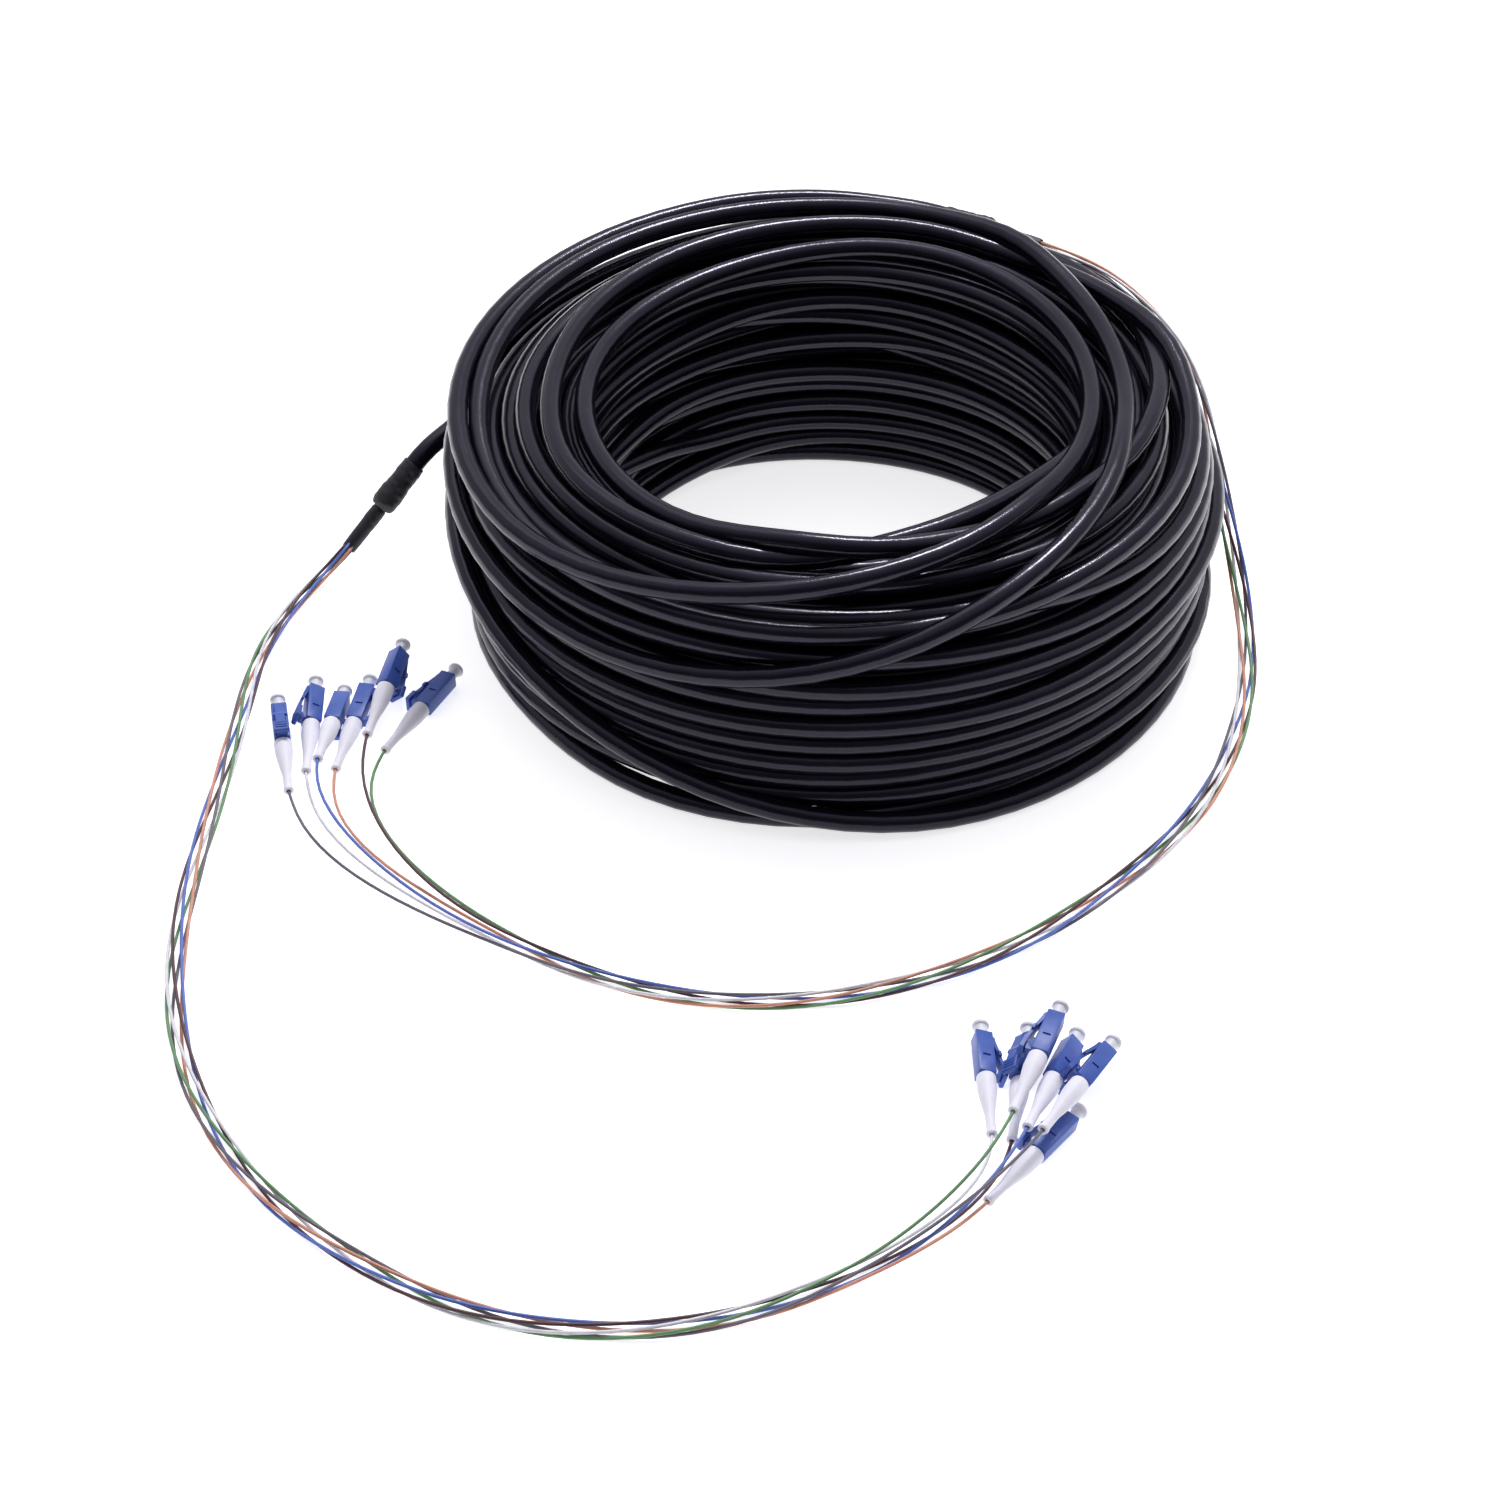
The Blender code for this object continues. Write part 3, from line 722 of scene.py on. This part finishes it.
class Workbench:
    """Short calls that make meshes with Blender's own modelling tools."""

    def pick(self, piece: Piece) -> None:
        """Selects one piece alone.

        Args:
            piece: The piece.
        """
        bpy.ops.object.select_all(action="DESELECT")
        piece.select_set(True)
        bpy.context.view_layer.objects.active = piece

    def start(self, piece: Piece) -> None:
        """Opens a mesh for editing, all of it selected.

        Args:
            piece: Its piece.
        """
        self.pick(piece)
        bpy.ops.object.mode_set(mode="EDIT")
        bpy.ops.mesh.select_all(action="SELECT")

    def face_outwards(self) -> None:
        """Selects the whole open mesh and turns its faces outwards."""
        bpy.ops.mesh.select_all(action="SELECT")
        bpy.ops.mesh.normals_make_consistent(inside=False)

    def finish(self, piece: Piece, sharp: float = 35.0) -> Piece:
        """Ends the editing of a mesh.

        Args:
            piece: The piece whose mesh is open.
            sharp: The angle in degrees up to which edges are smooth.

        Returns:
            The piece.
        """
        self.face_outwards()
        bpy.ops.object.mode_set(mode="OBJECT")
        bpy.ops.object.shade_smooth_by_angle(angle=math.radians(sharp))
        return piece

    def opened(self, name: str, verts: list[Point], edges: list[tuple], faces: list[tuple]) -> Piece:
        """Makes a new object and opens its mesh for editing.

        Args:
            name: The object's name.
            verts: The mesh's points.
            edges: Its edges.
            faces: Its faces.

        Returns:
            The object.
        """
        mesh = bpy.data.meshes.new(name)
        mesh.from_pydata(verts, edges, faces)
        piece = linked(name, mesh)
        self.start(piece)
        return piece

    def box(self, name: str, low: Point, high: Point, bevel: float = 0.0) -> Piece:
        """Makes a box.

        Args:
            name: The new object's name.
            low: Lowest corner in metres.
            high: Highest corner.
            bevel: Width of the rounded edges.

        Returns:
            The box.
        """
        middle = [(a + b) / 2 for a, b in zip(low, high)]
        bpy.ops.mesh.primitive_cube_add(size=1.0, location=middle)
        piece = bpy.context.active_object
        piece.name = name
        piece.scale = [b - a for a, b in zip(low, high)]
        bpy.ops.object.transform_apply(location=True, rotation=False, scale=True)
        self.start(piece)
        if bevel:
            bpy.ops.mesh.bevel(offset=bevel, segments=2, affect="EDGES")
        return self.finish(piece)

    def prism(self, name: str, outline: list[Pair], width: float, bevel: float = 0.0) -> Piece:
        """Extrudes an outline of (x, z) pairs to both sides of the XZ plane.

        Args:
            name: The new object's name.
            outline: The outline's points in order, in metres.
            width: Width along Y.
            bevel: Width of the rounded edges.

        Returns:
            The solid.
        """
        verts = [(x, -width / 2, z) for x, z in outline]
        piece = self.opened(name, verts, [], [tuple(range(len(verts)))])
        bpy.ops.mesh.extrude_region_move(TRANSFORM_OT_translate={"value": (0.0, width, 0.0)})
        self.face_outwards()
        if bevel:
            bpy.ops.mesh.bevel(offset=bevel, segments=1, affect="EDGES", clamp_overlap=True)
        return self.finish(piece)

    def turned(self, name: str, profile: list[Pair], steps: int) -> Piece:
        """Spins a profile of (x, radius) pairs round the X axis.

        Args:
            name: The new object's name.
            profile: The profile's points in order; its ends lie on the axis.
            steps: How many steps the turn has.

        Returns:
            The turned solid.
        """
        verts = [(x, radius, 0.0) for x, radius in profile]
        edges = [(index, index + 1) for index in range(len(verts) - 1)]
        piece = self.opened(name, verts, edges, [])
        bpy.ops.mesh.spin(steps=steps, angle=math.tau, center=(0, 0, 0), axis=(1, 0, 0))
        bpy.ops.mesh.select_all(action="SELECT")
        bpy.ops.mesh.remove_doubles(threshold=1e-6)
        return self.finish(piece)

    def combine(self, piece: Piece, tool: Piece, operation: str) -> None:
        """Joins a tool solid to a piece, or cuts it away.

        Args:
            piece: The piece that changes.
            tool: The other solid, which is removed.
            operation: The boolean modifier's operation.
        """
        cut = piece.modifiers.new(tool.name, "BOOLEAN")
        cut.operation = operation
        cut.solver = "EXACT"
        cut.object = tool
        self.pick(piece)
        bpy.ops.object.modifier_apply(modifier=cut.name)
        bpy.data.objects.remove(tool, do_unlink=True)

    def copy(self, pattern: Piece, name: str, matrix: Matrix, finish: Material) -> Piece:
        """Copies a pattern piece with its own mesh.

        Args:
            pattern: The piece that is copied.
            name: The copy's name.
            matrix: The copy's place, which goes into its mesh.
            finish: The copy's material.

        Returns:
            The copy, whose object stands at the origin.
        """
        mesh = pattern.data.copy()
        mesh.name = name
        mesh.transform(matrix)
        mesh.materials.clear()
        mesh.materials.append(finish)
        return linked(name, mesh)


@dataclass(frozen=True)
class PlugPattern:
    """The simplex plug, in metres. Its axis is X, its front face lies at zero and its latch points to Z."""

    width: float = 0.0046
    edge: float = 0.00032
    hole_radius: float = 0.00185
    hole_depth: float = 0.0060
    mark_place: float = -0.0093
    mark_size: Point = (0.0007, 0.0004, 0.0021)
    latch_width: float = 0.0026
    latch_thickness: float = 0.0009
    latch_rise: float = 0.0024
    thumb_width: float = 0.0044
    thumb_front: float = -0.0115
    thumb_back: float = -0.0160
    ear_place: float = -0.0072
    boot_radius: float = 0.00255
    neck_radius: float = 0.0013
    ferrule_radius: float = 0.000625
    round_steps: int = 28
    ferrule_steps: int = 20

    def latch_outlines(self) -> dict[str, tuple[list[Pair], float, float]]:
        """Draws the side views of the latch arm, its ears and the thumb pad.

        Returns:
            Each outline with its width and the width of its rounded edges.
        """
        top, thick = self.width / 2, self.latch_thickness
        rise = top + self.latch_rise
        arm = [
            (-0.0006, top - thick), (-0.0006, top + thick * 0.35), (-0.0012, top + thick * 0.8),
            (-0.0026, top + thick), (-0.0060, top + thick + 0.0008),
            (self.thumb_front - 0.0006, rise + thick / 2), (self.thumb_front - 0.0006, rise - thick / 2),
            (-0.0062, top + 0.0009), (-0.0033, top + 0.0001), (-0.0033, top - thick),
        ]
        low = top + 0.0010
        ears = [
            (self.ear_place + 0.0010, low), (self.ear_place + 0.0007, low + 0.0008),
            (self.ear_place - 0.0007, low + 0.0011), (self.ear_place - 0.0010, low + 0.0003),
        ]
        thumb = [
            (self.thumb_front, rise + 0.0004), (self.thumb_back + 0.0004, rise + 0.00065),
            (self.thumb_back, rise + 0.0003), (self.thumb_back, rise - 0.00065),
            (self.thumb_front, rise - 0.0009),
        ]
        return {
            "latch arm": (arm, self.latch_width, 0.0),
            "latch ears": (ears, self.thumb_width - 0.0004, 0.00008),
            "thumb pad": (thumb, self.thumb_width, 0.00012),
        }

    def housing(self, bench: Workbench) -> Piece:
        """Makes the housing with its side marks, ferrule hole, latch arm, thumb pad and rear arm.

        Args:
            bench: The modelling tools.

        Returns:
            The housing.
        """
        top, back = self.width / 2, -HOUSING_L
        rise = top + self.latch_rise
        body = bench.box("plug housing", (back, -top, -top), (0.0, top, top), self.edge)
        length, depth, height = self.mark_size
        for side in (-1, 1):
            low = (self.mark_place - length / 2, side * top - depth, -height / 2)
            high = (self.mark_place + length / 2, side * top + depth, height / 2)
            bench.combine(body, bench.box("side mark", low, high), "DIFFERENCE")
        hole = [(0.0005, 0.0), (0.0005, self.hole_radius)]
        hole += [(-self.hole_depth, self.hole_radius), (-self.hole_depth, 0.0)]
        bench.combine(body, bench.turned("ferrule hole", hole, self.round_steps), "DIFFERENCE")
        for name, (outline, width, bevel) in self.latch_outlines().items():
            bench.combine(body, bench.prism(name, outline, width, bevel), "UNION")
        for number in range(3):
            place = self.thumb_front - 0.0012 - number * 0.0010
            low = (place - 0.0002, -self.thumb_width * 0.36, rise + 0.00035)
            high = (place + 0.0002, self.thumb_width * 0.36, rise + 0.0009)
            bench.combine(body, bench.box("thumb groove", low, high), "DIFFERENCE")
        rear = [
            (back + 0.0004, top - self.latch_thickness), (back + 0.0004, top + 0.0002),
            (self.thumb_front - 0.0011, rise - 0.0007), (self.thumb_front - 0.0023, rise - 0.0006),
            (back, top + 0.0014), (back, top - self.latch_thickness),
        ]
        bench.combine(body, bench.prism("rear arm", rear, self.latch_width), "UNION")
        bench.start(body)
        return bench.finish(body, 30.0)

    def boot(self, bench: Workbench) -> Piece:
        """Makes the boot: straight body, taper, thin neck, lip and the fibre's hole.

        Args:
            bench: The modelling tools.

        Returns:
            The boot.
        """
        start = -HOUSING_L - GAP
        wide, neck = self.boot_radius, self.neck_radius
        shape = [
            (0.0, 0.0), (0.0, wide - 0.00035), (0.00012, wide - 0.0001), (0.0004, wide), (0.0046, wide),
            (0.0052, wide - 0.00003), (0.0075, wide - 0.00031), (0.0100, wide - 0.00062),
            (0.0124, wide - 0.00096), (0.0138, neck + 0.0001), (0.0150, neck), (0.0196, neck - 0.00004),
            (0.0199, neck), (0.0201, neck + 0.0001), (0.0204, neck + 0.00016), (0.0209, neck + 0.00016),
            (0.0212, neck + 0.00008), (BOOT_L, neck - 0.0001), (BOOT_L, 0.0007), (BOOT_L - 0.0025, 0.00065),
            (BOOT_L - 0.0025, 0.0),
        ]
        profile = [(start - along, radius) for along, radius in shape]
        return bench.turned("plug boot", profile, self.round_steps)

    def dust_cap(self, bench: Workbench) -> Piece:
        """Makes the dust cap: a hollow stem, a flared neck and a domed disc with a rim.

        Args:
            bench: The modelling tools.

        Returns:
            The dust cap.
        """
        profile = [
            (-0.0010, 0.0), (-0.0010, 0.00078), (-0.0052, 0.00078), (-0.0052, 0.00145), (-0.0050, 0.00155),
            (0.0022, 0.00155), (0.0028, 0.00160), (0.0032, 0.00174), (0.0034, 0.00205), (0.0035, 0.00216),
            (0.0038, 0.00225), (0.0042, 0.00225), (0.00445, 0.00214), (0.0045, 0.00198), (0.0044, 0.00180),
            (0.0045, 0.00150), (0.0048, 0.00095), (0.0050, 0.00040), (0.0050, 0.0),
        ]
        return bench.turned("dust cap", profile, self.round_steps)

    def ferrule(self, bench: Workbench) -> Piece:
        """Makes the ferrule: a ceramic pin with a bevelled tip and a slightly thicker root.

        Args:
            bench: The modelling tools.

        Returns:
            The ferrule.
        """
        radius, root = self.ferrule_radius, GAP / 3 - self.hole_depth
        profile = [
            (root, 0.0), (root, radius * 1.12), (-0.0056, radius * 1.12), (-0.0055, radius),
            (-0.0017, radius), (-0.0014, radius * 0.62), (-0.0014, 0.0),
        ]
        return bench.turned("ferrule", profile, self.ferrule_steps)

    def build(self, bench: Workbench, finishes: dict[str, Material]) -> dict[str, list[Piece]]:
        """Copies the patterns to all twelve plugs.

        Args:
            bench: The modelling tools.
            finishes: Materials by the name of the part of the plug.

        Returns:
            The pieces of each plug, by the prefix of its CAD nodes.
        """
        patterns = {
            "housing": self.housing(bench), "boot": self.boot(bench), "dust_cap": self.dust_cap(bench),
            "ferrule": self.ferrule(bench),
        }
        plugs = {}
        for end, poses in PLUGS.items():
            for colour, pose in poses.items():
                prefix = f"{end.value}_{colour.value}"
                pieces = []
                for part, pattern in patterns.items():
                    piece = bench.copy(pattern, f"{prefix}_plug_{part}", pose.matrix(), finishes[part])
                    if part != "ferrule":
                        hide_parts(f"{prefix}_{part}")
                    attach(piece, f"{prefix}_dust_cap" if part == "dust_cap" else "cable")
                    pieces.append(piece)
                plugs[prefix] = pieces
                LOG.info("%s plug: %d pieces", prefix, len(pieces))
        for pattern in patterns.values():
            bpy.data.objects.remove(pattern, do_unlink=True)
        return plugs


class Breakout:
    """The two heat-shrink sleeves at one cable end."""

    lump: float = 0.00007

    def __init__(self, end: CableEnd, aims: list[Point]) -> None:
        """Finds where the sleeves lie.

        Args:
            end: Which cable end this is.
            aims: Two points on the sleeves' axis, the first at the cable.
        """
        start, aim = (Vector(point) for point in aims)
        self.end = end
        self.start = start
        self.direction = (aim - start).normalized()
        self.small_start = start + self.direction * (LARGE_SLEEVE_L + GAP)
        self.mouth = self.small_start + self.direction * SMALL_SLEEVE_L
        self.sleeves: list[Piece] = []

    def build(self, bench: Workbench, finish: Material) -> None:
        """Makes the large sleeve over the cable and the small one over the fibres.

        Args:
            bench: The modelling tools.
            finish: The heat-shrink material.
        """
        turn = self.direction.to_track_quat("X", "Z").to_matrix().to_4x4()
        for size, profile, place in (
            ("large", LARGE_SLEEVE_PROFILE, self.start), ("small", SMALL_SLEEVE_PROFILE, self.small_start),
        ):
            pattern = bench.turned("sleeve", dense_profile(profile, 0.0005), 32)
            self.wrinkle(pattern.data)
            name = f"{self.end.value}_{size}_sleeve"
            piece = bench.copy(pattern, f"{name}_shrink", Matrix.Translation(place) @ turn, finish)
            bpy.data.objects.remove(pattern, do_unlink=True)
            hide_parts(name)
            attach(piece, "cable")
            self.sleeves.append(piece)
            LOG.info("%s: shrunk tube of %d faces", name, len(piece.data.polygons))

    def wrinkle(self, mesh: bpy.types.Mesh) -> None:
        """Gives the outside of a shrunk sleeve its shallow lumps.

        Args:
            mesh: The sleeve's mesh, which changes.
        """
        spots = np.empty(len(mesh.vertices) * 3)
        mesh.vertices.foreach_get("co", spots)
        spots = spots.reshape(-1, 3)
        radius = np.hypot(spots[:, 1], spots[:, 2])
        angle = np.arctan2(spots[:, 2], spots[:, 1])
        along = spots[:, 0] / MM
        waves = np.sin(0.9 * along + 2 * angle) + 0.6 * np.sin(1.9 * along - 3 * angle + 1.3)
        waves += 0.5 * np.sin(3.1 * along + 1.0) + 0.3 * np.sin(5 * angle + 2.7 * along)
        share = np.clip((radius - 0.0022) / 0.0003, 0.0, 1.0) * np.clip(along / 2.0, 0.0, 1.0)
        grown = 1.0 + share * waves * self.lump / np.maximum(radius, 1e-6)
        spots[:, 1:] *= grown[:, None]
        mesh.vertices.foreach_set("co", spots.ravel())
        mesh.update()

    def lead_line(self, route: list[Point]) -> np.ndarray:
        """Runs the cable from the coil into the large sleeve.

        Args:
            route: The route's points, from the coil outwards.

        Returns:
            The centreline, its points a few millimetres apart.
        """
        end = self.start + self.direction * LARGE_SLEEVE_L * 0.3
        approach = self.start - self.direction * (GAP + LARGE_SLEEVE_L / 3)
        curve = catmull_rom([*(Vector(point) for point in route), approach, end])
        length = sum((b - a).length for a, b in zip(curve, curve[1:]))
        return np.array([tuple(point) for point in evenly_spaced(curve, round(length / 0.004) + 1)])


@dataclass(frozen=True)
class FibreBundle:
    """Six buffered fibres that leave a sleeve as a loose twist and fan out to their plugs, in metres."""

    end: CableEnd
    route: list[Point]
    diameter: float = 0.0009
    sides: int = 8
    spacing: float = 0.00128
    spread: float = 0.0024
    twist_length: float = 0.170
    straight: float = SMALL_SLEEVE_L / 4
    boot_depth: float = 0.002
    coarse_points: int = 27
    middle_points: int = 90
    fan_points: int = 18

    def middle(self, breakout: Breakout) -> list[Vector]:
        """Runs the middle of the bundle along its route.

        Args:
            breakout: The sleeves that the bundle leaves.

        Returns:
            The points of the middle, from the sleeve on.
        """
        mouth = breakout.mouth + breakout.direction * (GAP + self.straight)
        curve = catmull_rom([mouth, *(Vector(point) for point in self.route)])
        return evenly_spaced(evenly_spaced(curve, self.coarse_points), self.middle_points)

    def twist(self, middle: list[Vector], first: Vector, phase: float) -> list[Vector]:
        """Lays one fibre round the middle of the bundle.

        Args:
            middle: The points of the middle.
            first: Direction in which the bundle leaves its sleeve.
            phase: Place in the twist where the bundle opens, in degrees.

        Returns:
            The fibre's points, from inside the sleeve on.
        """
        travelled = np.array([0.0, *np.cumsum([(b - a).length for a, b in zip(middle, middle[1:])])])
        points = []
        for index, (point, place) in enumerate(zip(middle, travelled)):
            ahead = middle[min(index + 1, len(middle) - 1)] - middle[index - 1] if index else first
            left = Vector((0, 0, 1)).cross(ahead).normalized()
            up = ahead.cross(left).normalized()
            angle = math.radians(phase) + math.tau * (place - travelled[-1]) / self.twist_length
            opening = min(1.0, place / (self.twist_length / 2))
            wide = self.spacing + (self.spread - self.spacing) * opening
            points.append(point - left * math.cos(angle) * wide + up * math.sin(angle) * self.spacing)
        return [points[0] - first * self.straight * 2, *points]

    def fan(self, start: Vector, leave: Vector, pose: PlugPose) -> list[Vector]:
        """Bends one fibre from the end of the bundle into its boot.

        Args:
            start: The fibre's place at the end of the bundle.
            leave: Direction in which it leaves.
            pose: Where its plug lies.

        Returns:
            The points after the start, the last of them inside the boot.
        """
        matrix = pose.matrix()
        boot_end = matrix @ Vector((-HOUSING_L - GAP - BOOT_L - GAP, 0, 0))
        inside = matrix @ Vector((-HOUSING_L - GAP - BOOT_L + self.boot_depth, 0, 0))
        backwards = matrix.to_3x3() @ Vector((-1, 0, 0))
        reach = (boot_end - start).length
        points = []
        for step in range(1, self.fan_points + 1):
            t = step / self.fan_points
            out = leave * reach * (t**3 - 2 * t**2 + t)
            into = backwards * reach * (t**3 - t**2)
            points.append(start * (2 * t**3 - 3 * t**2 + 1) + out + boot_end * (3 * t**2 - 2 * t**3) - into)
        return [*points, inside]

    def build(
        self, breakout: Breakout, finishes: dict[Buffer, Material], plugs: dict[str, list[Piece]]
    ) -> None:
        """Args:
            breakout: The sleeves that they leave.
            finishes: A material for each colour.
            plugs: The pieces of each plug.
        """
        middle = self.middle(breakout)
        for colour, pose in PLUGS[self.end].items():
            prefix = f"{self.end.value}_{colour.value}"
            points = self.twist(middle, breakout.direction, pose.phase)
            points += self.fan(points[-1], (points[-1] - points[-3]).normalized(), pose)
            line = np.array([tuple(point) for point in points])
            soften(line[:-1], 4)
            piece = tube(f"{prefix}_buffer", line, self.diameter / 2, self.sides)
            piece.data.materials.append(finishes[colour])
            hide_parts(f"{prefix}_fibre")
            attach(piece, "cable")
            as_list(plugs[prefix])


@dataclass(frozen=True)
class Studio:
    """Plain pale floor, soft lights and the camera."""

    camera_place: Point = (-0.025, -0.8609, 0.638)
    camera_tilt: float = 51.0
    lens: float = 86.4
    glow: Pair = (0.12, 0.72)
    glow_heights: Pair = (-0.35, 0.75)
    glow_tilt: float = 0.85
    glow_colour: Point = (0.90, 0.89, 1.0)
    floor_size: float = 12.0

    def camera(self) -> None:
        """Sets up the camera at the photograph's viewing angle."""
        data = bpy.data.cameras.new("camera")
        data.sensor_width = 36.0
        data.lens = self.lens
        data.clip_start = 0.01
        data.clip_end = 50.0
        item = linked("camera", data)
        item.location = self.camera_place
        item.rotation_euler = (math.radians(self.camera_tilt), 0.0, 0.0)
        bpy.context.scene.camera = item

    def floor(self) -> None:
        """Lays the floor."""
        bpy.ops.object.select_all(action="DESELECT")
        bpy.ops.mesh.primitive_plane_add(size=self.floor_size, location=(0.0, 0.0, 0.0))
        floor = bpy.context.active_object
        floor.name = "floor"
        floor.data.materials.append(FloorFinish().build())

    def lamp(self, name: str, place: Point, aim: Point, size: Pair, power: float) -> None:
        """Hangs a rectangular soft light.

        Args:
            name: The light's name.
            place: Where it hangs.
            aim: The point it faces.
            size: Its width and height.
            power: Its power in watts.
        """
        data = bpy.data.lights.new(name, "AREA")
        data.shape = "RECTANGLE"
        data.size, data.size_y = size
        data.energy = power
        item = linked(name, data)
        item.location = place
        item.rotation_euler = (Vector(aim) - Vector(place)).to_track_quat("-Z", "Y").to_euler()

    def surroundings(self) -> None:
        """Makes a room that is bright behind and above the cable and dark behind the camera."""
        world = bpy.data.worlds.new("studio")
        world.use_nodes = True
        sheet = NodeSheet(world.node_tree)
        ray = sheet.add("SeparateXYZ", {0: sheet.add("TexCoord", {}).outputs["Generated"]})
        inputs = {0: ray.outputs["Z"], 1: self.glow_tilt, 2: ray.outputs["Y"]}
        height = sheet.add("Math", inputs, operation="MULTIPLY_ADD").outputs[0]
        limits = dict(zip(("From Min", "From Max", "To Min", "To Max"), (*self.glow_heights, *self.glow)))
        glow = sheet.add("MapRange", {"Value": height, **limits}, interpolation_type="SMOOTHSTEP")
        inputs = {"Color": (*self.glow_colour, 1.0), "Strength": glow.outputs["Result"]}
        sheet.feed(sheet.nodes["Background"], inputs)
        bpy.context.scene.world = world

    def lights(self) -> None:
        """Hangs the lights."""
        self.surroundings()
        self.lamp("back strip", (0.22, 0.80, 1.36), (0.0, 0.0, 0.05), (0.42, 0.13), 16.0)
        self.lamp("overhead", (0.0, 1.1, 2.4), (0.0, -0.05, 0.0), (3.2, 1.8), 14.0)
        bpy.context.scene.view_settings.view_transform = "Standard"


def main() -> None:
    """Builds the whole scene in order."""
    logging.basicConfig(level=logging.INFO, format="%(name)s: %(message)s")
    bpy.ops.object.select_all(action="DESELECT")
    studio = Studio()
    studio.camera()
    studio.floor()
    studio.lights()
    finishes = {
        "housing": PlasticFinish("blue moulded plastic", (0.046, 0.104, 0.420)).build(),
        "boot": PlasticFinish("white boot elastomer", (0.80, 0.79, 0.86), 0.55, 0.03).build(),
        "dust_cap": PlasticFinish("white cap plastic", (0.74, 0.74, 0.78), 0.45, 0.03).build(),
        "ferrule": PlasticFinish("white ceramic", (0.84, 0.83, 0.79), 0.16, 0.03).build(),
    }
    colours = {
        Buffer.BLUE: (0.10, 0.17, 0.55), Buffer.ORANGE: (0.66, 0.30, 0.20), Buffer.GREEN: (0.13, 0.29, 0.12),
        Buffer.BROWN: (0.085, 0.03, 0.04), Buffer.SLATE: (0.15, 0.13, 0.16), Buffer.WHITE: (0.78, 0.77, 0.80),
    }
    buffers = {
        key: PlasticFinish(f"{key.value} buffer", value, 0.45).build() for key, value in colours.items()
    }
    bench = Workbench()
    plugs = PlugPattern().build(bench, finishes)
    breakouts = {CableEnd.A: Breakout(CableEnd.A, BREAKOUT_A), CableEnd.B: Breakout(CableEnd.B, BREAKOUT_B)}
    shrink = ShrinkFinish().build()
    for breakout in breakouts.values():
        breakout.build(bench, shrink)
    WoundCable().build(breakouts, JacketFinish().build())
    for end, route in ((CableEnd.A, BUNDLE_A), (CableEnd.B, BUNDLE_B)):
        FibreBundle(end, route).build(breakouts[end], buffers, plugs)


if __name__ == "__main__":
    main()
